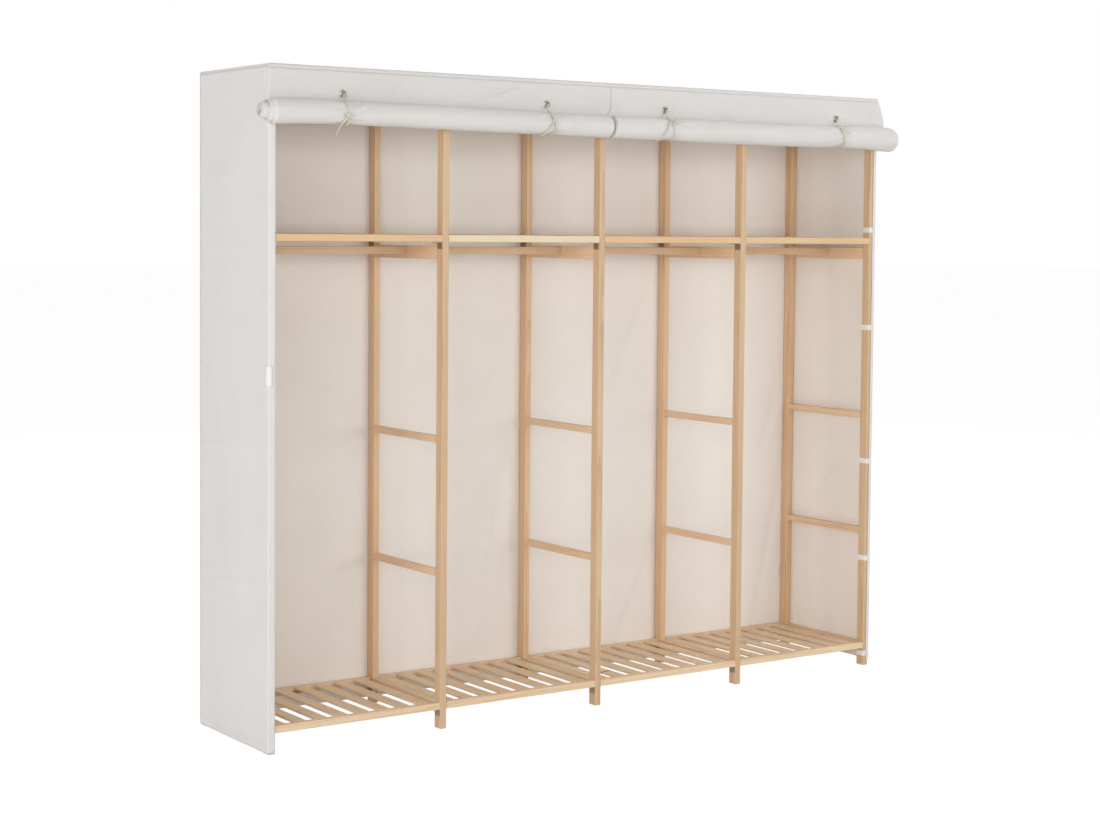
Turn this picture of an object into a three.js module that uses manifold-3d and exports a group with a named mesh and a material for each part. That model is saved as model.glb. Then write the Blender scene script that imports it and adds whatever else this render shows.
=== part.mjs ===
// A portable fabric wardrobe: five pine ladder frames, slatted shelves at the base and near the top,
// hanging rails, and a cloth cover whose two front curtains are rolled up and tied.
// Millimetres, +Z up. The origin is on the floor, below the middle of the object's box.
// +X is the viewer's right from the front and -Y is the front.
import * as THREE from "three";
import { mergeVertices } from "three/addons/utils/BufferGeometryUtils.js";
import Module from "manifold-3d";

const wasm = await Module();
wasm.setup();

// Driving dimensions of the cover
const COVER_WIDTH = 2000;
const COVER_DEPTH = 400;
const COVER_HEIGHT = 1700;
const CLOTH = 2;
const CLOTH_GAP = 0.3;
const COVER_EDGE_RADIUS = 10;
const COVER_FOLD_DEPTH = 5;
const SIDE_BOW = 3;
const TOP_SAG = 5;
const LEFT_STRIP_WIDTH = 16;
const RIGHT_STRIP_WIDTH = 11;
const SIDE_CORNER_RADIUS = 4;
const LEFT_HEM = 3;
const RIGHT_HEM = 18;
const BACK_HEM = 12;

// Driving dimensions of the frame
const BAY_COUNT = 4;
const POST_WIDTH = 18;
const POST_DEPTH = 30;
const WOOD_CHAMFER = 1.2;
const FIT_GAP = 0.3;
const RAIL = 18;
const TOP_RAIL_INSET = 5;
const SHELF_TOP = 1286;
const BASE_TOP = 70;
const SHELF_BOARD_HEIGHT = 34;
const SHELF_BOARD_DROP = 11;
const UPPER_RUNG_TOP = 764;
const LOWER_RUNG_TOP = 415;
const HANGING_RAIL_HEIGHT = 20;
const HANGING_RAIL_DEPTH = 18;
const HANGING_RAIL_DROP = 3;
const SLAT_COUNT = 8;
const SLAT_WIDTH = 32;
const SLAT_THICKNESS = 6;
const SLAT_LEFT_MARGIN = 2.5;
const SLAT_RIGHT_MARGIN = 21.25;
const SLAT_SEAT = 8;

// Driving dimensions of the rolled curtains and their ties
const ROLL_RADIUS = 33;
const ROLL_DROP = 119;
const ROLL_OVERHANG = 27;
const ROLL_SPLIT = -5;
const ROLL_END_GAP = 8;
const SPIRAL_INNER_RADIUS = 6;
const SPIRAL_OUTER_RADIUS = 26;
const SPIRAL_GROOVE = 2.4;
const SPIRAL_DEPTH = 12;
const SPIRAL_TURNS = 2.5;
const SPIRAL_SIDES = 14;
const ROLL_SIDES = 24;
const PINCH_REACH = 70;
const WAIST_SHARE = 0.86;
const WAIST_SHIFT = 10;
const END_ROUND_SHARE = 0.94;
const UNEVEN_SHARE = 0.012;
const SLIT_DROP = 27;
const SLIT_WIDTH = 1.6;
const SLIT_PLACE = 21;
const VALANCE_LEAN = 22;
const VALANCE_WRINKLE = 1.6;
const EYELET_DROP = 66;
const TIE_FOLLOW_REACH = 24;
const CORD_DIAMETER = 3.6;
const CORD_SIDES = 8;
const CORD_STEPS = 28;
const CUT_OVERRUN = 5;

// Planes that the pieces share, worked out from the driving dimensions
const rollProud = CLOTH_GAP + 2 * ROLL_RADIUS;
const coverFront = -(COVER_DEPTH + rollProud) / 2 + rollProud;
const coverRear = coverFront + COVER_DEPTH;
const coverSide = COVER_WIDTH / 2;
const clothStep = CLOTH + CLOTH_GAP;
const frameFront = coverFront + 2 * clothStep;
const frameRear = coverRear - COVER_FOLD_DEPTH - clothStep;
const frameSide = coverSide - clothStep;
const frameTop = COVER_HEIGHT - clothStep;
const framePitch = (2 * frameSide - POST_WIDTH) / BAY_COUNT;
const frameMiddle = (frameFront + frameRear) / 2;
const postTop = frameTop - RAIL - FIT_GAP;
const rollHeight = COVER_HEIGHT - ROLL_DROP;
const rollSeat = ROLL_RADIUS + CLOTH_GAP;
const rollTopHeight = rollHeight + rollSeat;
const eyeletHeight = COVER_HEIGHT - EYELET_DROP;
const frameNumbers = Array.from({ length: BAY_COUNT + 1 }, (_, i) => i);
const bayNumbers = Array.from({ length: BAY_COUNT }, (_, i) => i);

const wardrobe = new THREE.Group();

const pine = new THREE.MeshStandardMaterial({ color: "#e0c095", roughness: 0.6, metalness: 0 });
const pineShelf = new THREE.MeshStandardMaterial({ color: "#dcbb8e", roughness: 0.6, metalness: 0 });
const coverCloth = new THREE.MeshStandardMaterial({ color: "#dad8d4", roughness: 0.9, metalness: 0 });
const backCloth = new THREE.MeshStandardMaterial({ color: "#d2c8bc", roughness: 0.9, metalness: 0 });
const tieCord = new THREE.MeshStandardMaterial({ color: "#d8ccb4", roughness: 0.85, metalness: 0 });

function addPiece(name, geometry, material, x = 0, y = 0, z = 0) {
  const mesh = new THREE.Mesh(geometry, material);
  mesh.name = name;
  mesh.position.set(x, y, z);
  wardrobe.add(mesh);
  return mesh;
}

function frameX(number) {
  return -frameSide + POST_WIDTH / 2 + number * framePitch;
}

// A sawn lath whose long edges are eased, centred on the origin, with its length along X, Y or Z.
function lath(width, height, length, axis, easedEnds = 0) {
  const w = width / 2;
  const h = height / 2;
  const c = WOOD_CHAMFER;
  const outline = new THREE.Shape([
    new THREE.Vector2(-w + c, -h),
    new THREE.Vector2(w - c, -h),
    new THREE.Vector2(w, -h + c),
    new THREE.Vector2(w, h - c),
    new THREE.Vector2(w - c, h),
    new THREE.Vector2(-w + c, h),
    new THREE.Vector2(-w, h - c),
    new THREE.Vector2(-w, -h + c),
  ]);
  const made = new THREE.ExtrudeGeometry(outline, {
    depth: length - 2 * easedEnds,
    bevelEnabled: easedEnds > 0,
    bevelSize: easedEnds,
    bevelThickness: easedEnds,
    bevelOffset: -easedEnds,
    bevelSegments: 1,
  });
  made.translate(0, 0, -length / 2 + easedEnds);
  if (axis === "x") made.rotateY(Math.PI / 2).rotateX(Math.PI / 2);
  if (axis === "y") made.rotateX(Math.PI / 2);
  return made;
}

function solidOf(geometry) {
  const bare = geometry.clone();
  bare.deleteAttribute("normal");
  bare.deleteAttribute("uv");
  const merged = mergeVertices(bare);
  return new wasm.Manifold(
    new wasm.Mesh({
      numProp: 3,
      vertProperties: merged.attributes.position.array,
      triVerts: new Uint32Array(merged.index.array),
    }),
  );
}

function geometryOf(solid) {
  const mesh = solid.getMesh();
  const made = new THREE.BufferGeometry();
  made.setAttribute("position", new THREE.BufferAttribute(mesh.vertProperties, 3));
  made.setIndex(new THREE.BufferAttribute(mesh.triVerts, 1));
  made.computeVertexNormals();
  return made;
}

// A closed cloth solid on a grid. outer(u, v) and inner(u, v) give the two faces at shares u and v.
// Seen from outside, u runs to the right and v runs down.
function clothSolid(uShares, vShares, outer, inner) {
  const points = [];
  const faces = [];
  const across = uShares.length;
  const down = vShares.length;
  for (const face of [outer, inner]) {
    for (const v of vShares) {
      for (const u of uShares) points.push(...face(u, v));
    }
  }
  const layer = across * down;
  const at = (i, j) => j * across + i;
  const quad = (a, b, c, d) => faces.push(a, b, c, a, c, d);
  for (let j = 0; j < down - 1; j++) {
    for (let i = 0; i < across - 1; i++) {
      quad(at(i, j), at(i, j + 1), at(i + 1, j + 1), at(i + 1, j));
      quad(layer + at(i, j), layer + at(i + 1, j), layer + at(i + 1, j + 1), layer + at(i, j + 1));
    }
  }
  for (let i = 0; i < across - 1; i++) {
    quad(at(i, 0), at(i + 1, 0), layer + at(i + 1, 0), layer + at(i, 0));
    quad(at(i + 1, down - 1), at(i, down - 1), layer + at(i, down - 1), layer + at(i + 1, down - 1));
  }
  for (let j = 0; j < down - 1; j++) {
    quad(at(0, j + 1), at(0, j), layer + at(0, j), layer + at(0, j + 1));
    quad(at(across - 1, j), at(across - 1, j + 1), layer + at(across - 1, j + 1), layer + at(across - 1, j));
  }
  const made = new THREE.BufferGeometry();
  made.setAttribute("position", new THREE.Float32BufferAttribute(points, 3));
  made.setIndex(faces);
  made.computeVertexNormals();
  return made;
}

function evenShares(count) {
  return Array.from({ length: count + 1 }, (_, i) => i / count);
}

// Soft upright folds, from 0 to 1: two waves whose lengths don't divide each other, fading at the sides
function foldShare(x, z) {
  const bays = x / framePitch;
  const lean = (0.35 * z) / COVER_HEIGHT;
  const wave = Math.sin(7.1 * bays + lean) + 0.7 * Math.sin(12.7 * bays - lean);
  const fade = Math.min(1, 12 * (1 - Math.abs(x) / coverSide));
  return fade * (0.5 + wave / 3.4);
}

// Ladder frames: a front and a rear post joined by five rungs
const rungLength = frameRear - frameFront - 2 * POST_DEPTH - 2 * FIT_GAP;
const rungs = [
  { name: "shelf_rung", top: SHELF_TOP - RAIL - SHELF_BOARD_DROP, height: SHELF_BOARD_HEIGHT },
  { name: "upper_middle_rung", top: UPPER_RUNG_TOP, height: RAIL },
  { name: "lower_middle_rung", top: LOWER_RUNG_TOP, height: RAIL },
  { name: "base_rung", top: BASE_TOP, height: RAIL },
  { name: "top_rung", top: postTop, height: RAIL },
];
for (const number of frameNumbers) {
  const x = frameX(number);
  const post = () => lath(POST_WIDTH, POST_DEPTH, postTop, "z", WOOD_CHAMFER);
  addPiece(`front_post_${number + 1}`, post(), pine, x, frameFront + POST_DEPTH / 2, postTop / 2);
  addPiece(`rear_post_${number + 1}`, post(), pine, x, frameRear - POST_DEPTH / 2, postTop / 2);
  for (const { name, top, height } of rungs) {
    const geometry = lath(POST_WIDTH, height, rungLength, "y");
    addPiece(`${name}_${number + 1}`, geometry, pine, x, frameMiddle, top - height / 2);
  }
}

// Top rails, laid on the posts from end to end
const topRailLength = 2 * (coverSide - COVER_EDGE_RADIUS);
for (const [name, y] of [
  ["top_front_rail", frameFront + TOP_RAIL_INSET + RAIL / 2],
  ["top_rear_rail", frameRear - TOP_RAIL_INSET - RAIL / 2],
]) {
  addPiece(name, lath(RAIL, RAIL, topRailLength, "x"), pine, 0, y, frameTop - RAIL / 2);
}

// Hanging rails and shelves, between neighbouring frames
const bayLength = framePitch - POST_WIDTH - 2 * FIT_GAP;
const shelfBoardTop = SHELF_TOP - RAIL - SHELF_BOARD_DROP;

function shelf() {
  const inset = RAIL - SLAT_SEAT;
  const slatLength = frameRear - frameFront - 2 * inset;
  const slatRoom = bayLength - SLAT_LEFT_MARGIN - SLAT_RIGHT_MARGIN - SLAT_WIDTH;
  const front = new THREE.BoxGeometry(bayLength, RAIL, RAIL).translate(0, frameFront + RAIL / 2, -RAIL / 2);
  const rear = new THREE.BoxGeometry(bayLength, RAIL, RAIL).translate(0, frameRear - RAIL / 2, -RAIL / 2);
  let made = solidOf(front).add(solidOf(rear));
  for (let n = 0; n < SLAT_COUNT; n++) {
    const share = n / (SLAT_COUNT - 1);
    const x = -bayLength / 2 + SLAT_LEFT_MARGIN + SLAT_WIDTH / 2 + share * slatRoom;
    const slat = new THREE.BoxGeometry(SLAT_WIDTH, slatLength, SLAT_THICKNESS);
    slat.translate(x, frameMiddle, -SLAT_THICKNESS / 2);
    made = made.add(solidOf(slat));
  }
  return geometryOf(made);
}

for (const number of bayNumbers) {
  const x = frameX(number) + framePitch / 2;
  const hangingRail = lath(HANGING_RAIL_DEPTH, HANGING_RAIL_HEIGHT, bayLength, "x");
  const railZ = shelfBoardTop - HANGING_RAIL_DROP - HANGING_RAIL_HEIGHT / 2;
  addPiece(`hanging_rail_${number + 1}`, hangingRail, pine, x, frameMiddle, railZ);
  addPiece(`base_shelf_${number + 1}`, shelf(), pineShelf, x, 0, BASE_TOP);
  addPiece(`top_shelf_${number + 1}`, shelf(), pineShelf, x, 0, SHELF_TOP);
}

// How far the rounded upper edge of the cover is drawn in at a height
function edgeInset(z) {
  const rise = Math.max(0, z - (COVER_HEIGHT - COVER_EDGE_RADIUS));
  return COVER_EDGE_RADIUS - Math.sqrt(Math.max(0, COVER_EDGE_RADIUS ** 2 - rise ** 2));
}

// Back of the cover, hung in soft upright folds between the rear posts and the floor
const cornerRises = [0, 0.35, 0.75].map((share) => share * COVER_EDGE_RADIUS);
const backHeights = [
  ...cornerRises.map((rise) => COVER_HEIGHT - rise),
  COVER_HEIGHT - COVER_EDGE_RADIUS,
  ...[0.8, 0.5, 0.18].map((share) => share * COVER_HEIGHT),
  BACK_HEM,
];
function backPoint(thickness) {
  return (u, v) => {
    const z = backHeights[v];
    const inset = edgeInset(z);
    const x = (1 - 2 * u) * (coverSide - inset);
    const fold = COVER_FOLD_DEPTH * (1 - foldShare(x, z));
    return [x, coverRear - fold - Math.min(inset, COVER_EDGE_RADIUS - CLOTH) - thickness, z];
  };
}
const backRows = backHeights.map((_, row) => row);
const backPanel = clothSolid(evenShares(44), backRows, backPoint(0), backPoint(CLOTH));
addPiece("cover_back", backPanel, backCloth);

// Top of the cover, stretched over the top rails and turned down at both ends. A place along it is
// a share of the half width, and past 1 the share of the turn at the end is added.
const topFront = coverFront + COVER_EDGE_RADIUS + CLOTH_GAP;
const topRear = coverRear - COVER_FOLD_DEPTH - COVER_EDGE_RADIUS - CLOTH_GAP;
const railShare = 0.08;
const topRows = [0, railShare, 0.3, 0.5, 0.7, 1 - railShare, 1];
const topShares = [-2, -1.6, -1.25, ...evenShares(16).map((share) => 2 * share - 1), 1.25, 1.6, 2];
function topPoint(thickness) {
  const reach = coverSide - COVER_EDGE_RADIUS;
  const radius = COVER_EDGE_RADIUS - thickness;
  return (u, v) => {
    const turn = (Math.max(0, Math.abs(u) - 1) * Math.PI) / 2;
    const flat = Math.min(1, Math.abs(u));
    const bay = Math.sin(((u + 1) / 2) * BAY_COUNT * Math.PI);
    const past = Math.max(0, Math.min(1, (v - railShare) / (1 - 2 * railShare)));
    const sag = turn > 0 ? 0 : TOP_SAG * bay ** 2 * Math.sin(past * Math.PI);
    return [
      Math.sign(u) * (flat * reach + radius * Math.sin(turn)),
      topRear + (topFront - topRear) * v,
      COVER_HEIGHT - COVER_EDGE_RADIUS + radius * Math.cos(turn) - sag,
    ];
  };
}
addPiece("cover_top", clothSolid(topShares, topRows, topPoint(0), topPoint(CLOTH)), coverCloth);

// Sides of the cover. Each turns round its front post as a narrow strip and hangs to its hem.
const sideTop = COVER_HEIGHT - COVER_EDGE_RADIUS - CLOTH_GAP;
const stripFront = coverFront + clothStep;
const sideRear = coverRear - COVER_FOLD_DEPTH - clothStep;
function sidePanel(hem, stripWidth, sign) {
  const heights = [sideTop, ...[0.85, 0.6, 0.35, 0.12].map((share) => share * COVER_HEIGHT), hem];
  const corner = SIDE_CORNER_RADIUS;
  const path = (thickness) => {
    const r = corner - thickness;
    const out = [];
    for (const share of [0, 1]) {
      const x = coverSide - stripWidth + share * (stripWidth - corner);
      out.push([x, stripFront + thickness]);
    }
    for (const turn of [Math.PI / 4, Math.PI / 2]) {
      const x = coverSide - corner + r * Math.sin(turn);
      out.push([x, stripFront + corner - r * Math.cos(turn)]);
    }
    for (const share of [0.1, 0.3, 0.5, 0.7, 0.9, 1]) {
      const y = stripFront + corner + share * (sideRear - stripFront - corner);
      const bow = Math.max(0, Math.sin(((share - 0.1) / 0.8) * Math.PI));
      out.push([coverSide - thickness, y, bow]);
    }
    return out;
  };
  const point = (thickness) => {
    const places = path(thickness);
    return (u, v) => {
      const [x, y, bow = 0] = places[u];
      const z = heights[v];
      const middle = Math.sin((z / COVER_HEIGHT) * Math.PI);
      return [sign * (x + SIDE_BOW * bow * middle), y, z];
    };
  };
  const columns = path(0).map((_, column) => column);
  const rows = heights.map((_, row) => row);
  return clothSolid(sign > 0 ? columns : columns.reverse(), rows, point(0), point(CLOTH));
}
addPiece("cover_left_side", sidePanel(LEFT_HEM, LEFT_STRIP_WIDTH, -1), coverCloth);
addPiece("cover_right_side", sidePanel(RIGHT_HEM, RIGHT_STRIP_WIDTH, 1), coverCloth);

// Rolled curtains. Each is drawn in where its ties hold it and shows the turns of the cloth at its ends.
const rollY = coverFront - CLOTH_GAP - ROLL_RADIUS;
const rolls = [
  {
    name: "curtain_roll_left",
    from: -coverSide - ROLL_OVERHANG,
    to: ROLL_SPLIT - ROLL_END_GAP / 2,
    tieShares: [-0.798, -0.188],
    girthShares: [[0, 1], [0.14, 0.95], [0.35, 0.98], [0.62, 0.98], [0.9, 0.95], [1, 0.95]],
  },
  {
    name: "curtain_roll_right",
    from: ROLL_SPLIT + ROLL_END_GAP / 2,
    to: coverSide + ROLL_OVERHANG,
    tieShares: [0.205, 0.826],
    girthShares: [[0, 0.96], [0.1, 0.96], [0.4, 0.99], [0.7, 0.98], [0.9, 0.98], [1, 0.98]],
  },
];

function between(table, share) {
  const next = table.findIndex(([place]) => place >= share);
  if (next <= 0) return table[0][1];
  const [a, from] = table[next - 1];
  const [b, to] = table[next];
  return from + ((share - a) / (b - a)) * (to - from);
}

function rollBody({ from, to, tieShares, girthShares }) {
  const length = to - from;
  const ties = tieShares.map((share) => share * coverSide - WAIST_SHIFT);
  const reach = PINCH_REACH;
  const stations = [from, from + CUT_OVERRUN, to - CUT_OVERRUN, to];
  for (const share of [0.32, 0.5, 0.68]) stations.push(from + share * length);
  for (const tie of ties) {
    for (const step of [-1, -0.45, -0.15, 0.15, 0.45, 1]) stations.push(tie + step * reach);
  }
  stations.sort((a, b) => a - b);
  const points = [];
  const faces = [];
  for (const x of stations) {
    const share = (x - from) / length;
    const nearest = Math.min(...ties.map((tie) => Math.abs(x - tie)));
    const pinch = Math.min(1, Math.max(0, 1.2 * (1 - nearest / reach))) ** 2;
    const girth = between(girthShares, share);
    const rounded = x === from || x === to ? END_ROUND_SHARE : 1;
    for (let side = 0; side < ROLL_SIDES; side++) {
      const angle = (side / ROLL_SIDES) * 2 * Math.PI;
      const uneven = 1 - UNEVEN_SHARE * (1 + Math.sin(2 * angle + 9 * share));
      const r = ROLL_RADIUS * rounded * uneven * (girth + pinch * (WAIST_SHARE - girth));
      points.push(x, rollY + r * Math.cos(angle), rollHeight + r * Math.sin(angle));
    }
  }
  const last = stations.length - 1;
  for (const x of [from, to]) points.push(x, rollY, rollHeight);
  const caps = [stations.length * ROLL_SIDES, stations.length * ROLL_SIDES + 1];
  for (let side = 0; side < ROLL_SIDES; side++) {
    const next = (side + 1) % ROLL_SIDES;
    for (let ring = 0; ring < last; ring++) {
      const a = ring * ROLL_SIDES + side;
      const b = ring * ROLL_SIDES + next;
      faces.push(a, b, b + ROLL_SIDES, a, b + ROLL_SIDES, a + ROLL_SIDES);
    }
    faces.push(caps[0], next, side);
    faces.push(caps[1], last * ROLL_SIDES + side, last * ROLL_SIDES + next);
  }
  const made = new THREE.BufferGeometry();
  made.setAttribute("position", new THREE.Float32BufferAttribute(points, 3));
  made.setIndex(faces);
  return made;
}

// The gap between the turns of the rolled cloth, as a cutter that runs in from one end
function spiralGap(endX) {
  const steps = Math.round(SPIRAL_TURNS * SPIRAL_SIDES);
  const edge = (offset) =>
    Array.from({ length: steps + 1 }, (_, step) => {
      const angle = (step / SPIRAL_SIDES) * 2 * Math.PI;
      const r = SPIRAL_INNER_RADIUS + (step / steps) * (SPIRAL_OUTER_RADIUS - SPIRAL_INNER_RADIUS) + offset;
      return new THREE.Vector2(r * Math.cos(angle), r * Math.sin(angle));
    });
  const outline = new THREE.Shape([...edge(SPIRAL_GROOVE / 2), ...edge(-SPIRAL_GROOVE / 2).reverse()]);
  const made = new THREE.ExtrudeGeometry(outline, { depth: 2 * SPIRAL_DEPTH, bevelEnabled: false });
  made.translate(0, 0, -SPIRAL_DEPTH).rotateX(Math.PI / 2).rotateZ(Math.PI / 2);
  return made.translate(endX, rollY, rollHeight);
}

for (const roll of rolls) {
  let made = solidOf(rollBody(roll));
  for (const end of [roll.from, roll.to]) made = made.subtract(solidOf(spiralGap(end)));
  addPiece(roll.name, geometryOf(made), coverCloth);
}

// Front valance: the curtains' upper part, which stays flat, leans out to the right over the roll and
// follows the roll's back down to the height where the roll begins
const valanceHeights = [
  ...cornerRises.map((rise) => COVER_HEIGHT - rise),
  COVER_HEIGHT - COVER_EDGE_RADIUS,
  ...[0.75, 0.45, 0.2].map((share) => rollTopHeight + share * (COVER_HEIGHT - rollTopHeight)),
  ...[1, 0.93, 0.75, 0.45, 0].map((share) => rollHeight + share * rollSeat),
];

function valanceFront(x, z) {
  const drop = Math.min(1, (COVER_HEIGHT - z) / (COVER_HEIGHT - rollTopHeight));
  const ease = drop * drop * (3 - 2 * drop);
  const right = Math.max(0, (x / coverSide - 0.55) / 0.45);
  const wrinkle = 1 + Math.sin((9 * x) / coverSide + 4 * drop) * Math.sin((23 * x) / coverSide - 5 * drop);
  const out = VALANCE_LEAN * right ** 2 + VALANCE_WRINKLE * wrinkle;
  const free = coverFront + edgeInset(z) * (1 - CLOTH / COVER_EDGE_RADIUS) - out * ease;
  const above = Math.min(1, Math.abs(z - rollHeight) / rollSeat);
  const hugging = rollY + rollSeat * Math.sqrt(1 - above ** 2);
  return z > rollTopHeight ? free : Math.max(free, hugging);
}

function valancePoint(thickness) {
  return (u, v) => {
    const z = valanceHeights[v];
    const x = (2 * u - 1) * (coverSide - edgeInset(z));
    return [x, valanceFront(x, z) + thickness, z];
  };
}
const valanceRows = valanceHeights.map((_, row) => row);
const valance = clothSolid(evenShares(40), valanceRows, valancePoint(0), valancePoint(CLOTH));
const slitHeight = ROLL_DROP - SLIT_DROP + CUT_OVERRUN;
const slit = new THREE.BoxGeometry(SLIT_WIDTH, 2 * (CLOTH + VALANCE_LEAN), slitHeight);
slit.translate(SLIT_PLACE, coverFront, COVER_HEIGHT - SLIT_DROP - slitHeight / 2);
addPiece("front_valance", geometryOf(solidOf(valance).subtract(solidOf(slit))), coverCloth);

// Cord ties. Each leaves the front of its eyelet, lies over the roll, passes under it and comes up behind
// the valance to the back of the same eyelet. The route is measured from the eyelet of a flat valance,
// and where the valance leans out the route goes with it within a short reach of the eyelet.
const TIE_ROUTE = [
  [0, -0.6, 0],
  [0, -5, -0.6],
  [-1, -9.5, -4],
  [-5, -14, -11],
  [-10, -20, -18],
  [-14, -28, -21.6],
  [-16, -38.7, -22],
  [-17, -49.1, -25.8],
  [-17, -57.4, -32.8],
  [-16.5, -62.8, -42.2],
  [-15, -64.7, -53],
  [-12.5, -62.8, -63.8],
  [-10, -57.4, -73.2],
  [-8.5, -49.1, -80.2],
  [-7, -38.7, -83.9],
  [-6, -27.9, -83.9],
  [-5, -17.6, -80.2],
  [-4, -9.2, -73.2],
  [-3, -1.8, -64.5],
  [-2, 4.9, -53],
  [-1.5, 6, -40],
  [-1, 6.2, -28],
  [-0.5, 8, -17.5],
  [0, 10.5, -9],
  [0, 8.5, -2],
  [0, 2.6, 0],
];

function tie(x) {
  const lean = valanceFront(x, eyeletHeight) - coverFront;
  const points = TIE_ROUTE.map(([dx, dy, dz]) => {
    const follow = Math.max(0, 1 + dz / TIE_FOLLOW_REACH);
    return new THREE.Vector3(x + dx, coverFront + dy + lean * follow, eyeletHeight + dz);
  });
  const section = new THREE.Shape();
  section.absarc(0, 0, CORD_DIAMETER / 2, 0, 2 * Math.PI);
  return new THREE.ExtrudeGeometry(section, {
    steps: CORD_STEPS,
    curveSegments: CORD_SIDES,
    extrudePath: new THREE.CatmullRomCurve3(points, false, "centripetal"),
    bevelEnabled: false,
  });
}

const tiePlaces = rolls.flatMap(({ tieShares }) => tieShares.map((share) => share * coverSide));
tiePlaces.forEach((x, index) => addPiece(`tie_${index + 1}`, tie(x), tieCord));

export default wardrobe;
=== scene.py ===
"""Portable fabric wardrobe: a pine frame of four bays under an off-white cloth cover, its two front curtains
rolled up and tied."""

import math
import random

import bmesh
import bpy
from mathutils import Euler, Matrix, Vector, noise


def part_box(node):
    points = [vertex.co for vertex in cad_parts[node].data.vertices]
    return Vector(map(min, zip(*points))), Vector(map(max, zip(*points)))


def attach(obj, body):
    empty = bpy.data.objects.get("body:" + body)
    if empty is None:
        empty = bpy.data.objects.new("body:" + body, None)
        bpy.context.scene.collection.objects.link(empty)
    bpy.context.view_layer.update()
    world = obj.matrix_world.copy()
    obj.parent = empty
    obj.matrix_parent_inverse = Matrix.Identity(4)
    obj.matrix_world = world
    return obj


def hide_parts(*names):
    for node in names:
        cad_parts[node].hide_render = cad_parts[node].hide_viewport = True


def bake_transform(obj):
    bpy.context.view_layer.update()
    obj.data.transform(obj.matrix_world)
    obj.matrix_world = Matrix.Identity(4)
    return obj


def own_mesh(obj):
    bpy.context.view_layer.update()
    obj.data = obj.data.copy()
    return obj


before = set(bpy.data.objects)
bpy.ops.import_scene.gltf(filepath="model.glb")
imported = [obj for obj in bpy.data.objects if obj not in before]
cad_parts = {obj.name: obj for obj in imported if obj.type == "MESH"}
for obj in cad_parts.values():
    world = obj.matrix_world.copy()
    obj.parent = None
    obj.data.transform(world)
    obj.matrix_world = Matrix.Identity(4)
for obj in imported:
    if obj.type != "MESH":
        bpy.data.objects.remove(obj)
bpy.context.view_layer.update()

# Studio. The camera stands at the left of the wardrobe, at about shelf height, and looks along its front.
# The room is white all round and the floor pale. A low wide lamp in front reaches into the bays, and others
# light the left, the front from its left corner and from high up, the back, the right side and the top.
CAMERA_PLACE = (-3.30668, -4.79792, 1.30309)
CAMERA_TURN = -0.620411
CAMERA_DIP = 0.0522862
CAMERA_TILT = 0.00968805
CAMERA_LENS = 68.64
CAMERA_SHIFT = (-0.04825, -0.06587)
ROOM_LIGHT = 0.15
LAMPS = (
    ("front_lamp", (0.8, -7.0, 1.6), (7.0, 2.0), 182.0),
    ("side_lamp", (-7.0, -1.5, 1.2), (3.0, 2.0), 160.0),
    ("corner_lamp", (-6.5, -6.5, 2.0), (5.0, 3.0), 168.0),
    ("top_lamp", (2.3, -1.7, 3.9), (3.0, 1.0), 38.0),
    ("back_lamp", (1.0, 7.5, 2.2), (6.0, 3.0), 210.0),
    ("right_lamp", (7.5, 1.5, 1.6), (3.0, 2.0), 160.0),
    ("roof_lamp", (0.0, 1.6, 5.0), (4.0, 2.0), 50.0),
)
LAMP_AIM = (0.0, 0.0, 0.9)
FLOOR_SIZE = 120.0
FLOOR_GLOW = 0.86
FLOOR_BRIGHTNESS = 1.12
FLOOR_GREY = 0.9
FILM_WIDTH = 36.0
WHITE = (1.0, 1.0, 1.0, 1.0)

scene = bpy.context.scene
scene.view_settings.view_transform = "Standard"

lens = bpy.data.cameras.new("studio_camera")
lens.sensor_width = FILM_WIDTH
lens.lens = CAMERA_LENS
lens.shift_x, lens.shift_y = CAMERA_SHIFT
camera = bpy.data.objects.new("studio_camera", lens)
camera.matrix_world = (
    Matrix.Translation(CAMERA_PLACE)
    @ Matrix.Rotation(CAMERA_TURN, 4, "Z")
    @ Matrix.Rotation(math.pi / 2 - CAMERA_DIP, 4, "X")
    @ Matrix.Rotation(CAMERA_TILT, 4, "Z")
)
scene.collection.objects.link(camera)
scene.camera = camera


def feed(node, inputs):
    """Wires or sets each input of a shader node that is given."""
    for name, value in inputs.items():
        if isinstance(value, bpy.types.NodeSocket):
            node.id_data.links.new(value, node.inputs[name])
        else:
            node.inputs[name].default_value = value


def lay_node(tree, kind, inputs=None, **settings):
    """Adds a shader node with its settings and its inputs."""
    node = tree.nodes.new(kind)
    for name, value in settings.items():
        setattr(node, name, value)
    feed(node, inputs or {})
    return node


def lay_math(tree, operation, first, second=0.0, third=0.0, clamp=False):
    """One step of arithmetic in a shader tree."""
    values = {0: first, 1: second, 2: third}
    return lay_node(tree, "ShaderNodeMath", values, operation=operation, use_clamp=clamp).outputs[0]


def seen_straight(tree):
    """1 for rays that show the room itself: straight to the camera, mirrored, or through glass."""
    rays = lay_node(tree, "ShaderNodeLightPath").outputs
    mirrored = lay_math(tree, "MAXIMUM", rays["Is Camera Ray"], rays["Is Glossy Ray"])
    return lay_math(tree, "MAXIMUM", mirrored, rays["Is Transmission Ray"])


room = bpy.data.worlds.new("white_room")
scene.world = room
room.use_nodes = True
tree = room.node_tree
tree.nodes.clear()
light = lay_node(tree, "ShaderNodeBackground", {"Color": WHITE, "Strength": ROOM_LIGHT})
wall = lay_node(tree, "ShaderNodeBackground", {"Color": WHITE, "Strength": 1.0})
shown = seen_straight(tree)
both = lay_node(tree, "ShaderNodeMixShader", {0: shown, 1: light.outputs[0], 2: wall.outputs[0]})
lay_node(tree, "ShaderNodeOutputWorld", {"Surface": both.outputs[0]})

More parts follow.
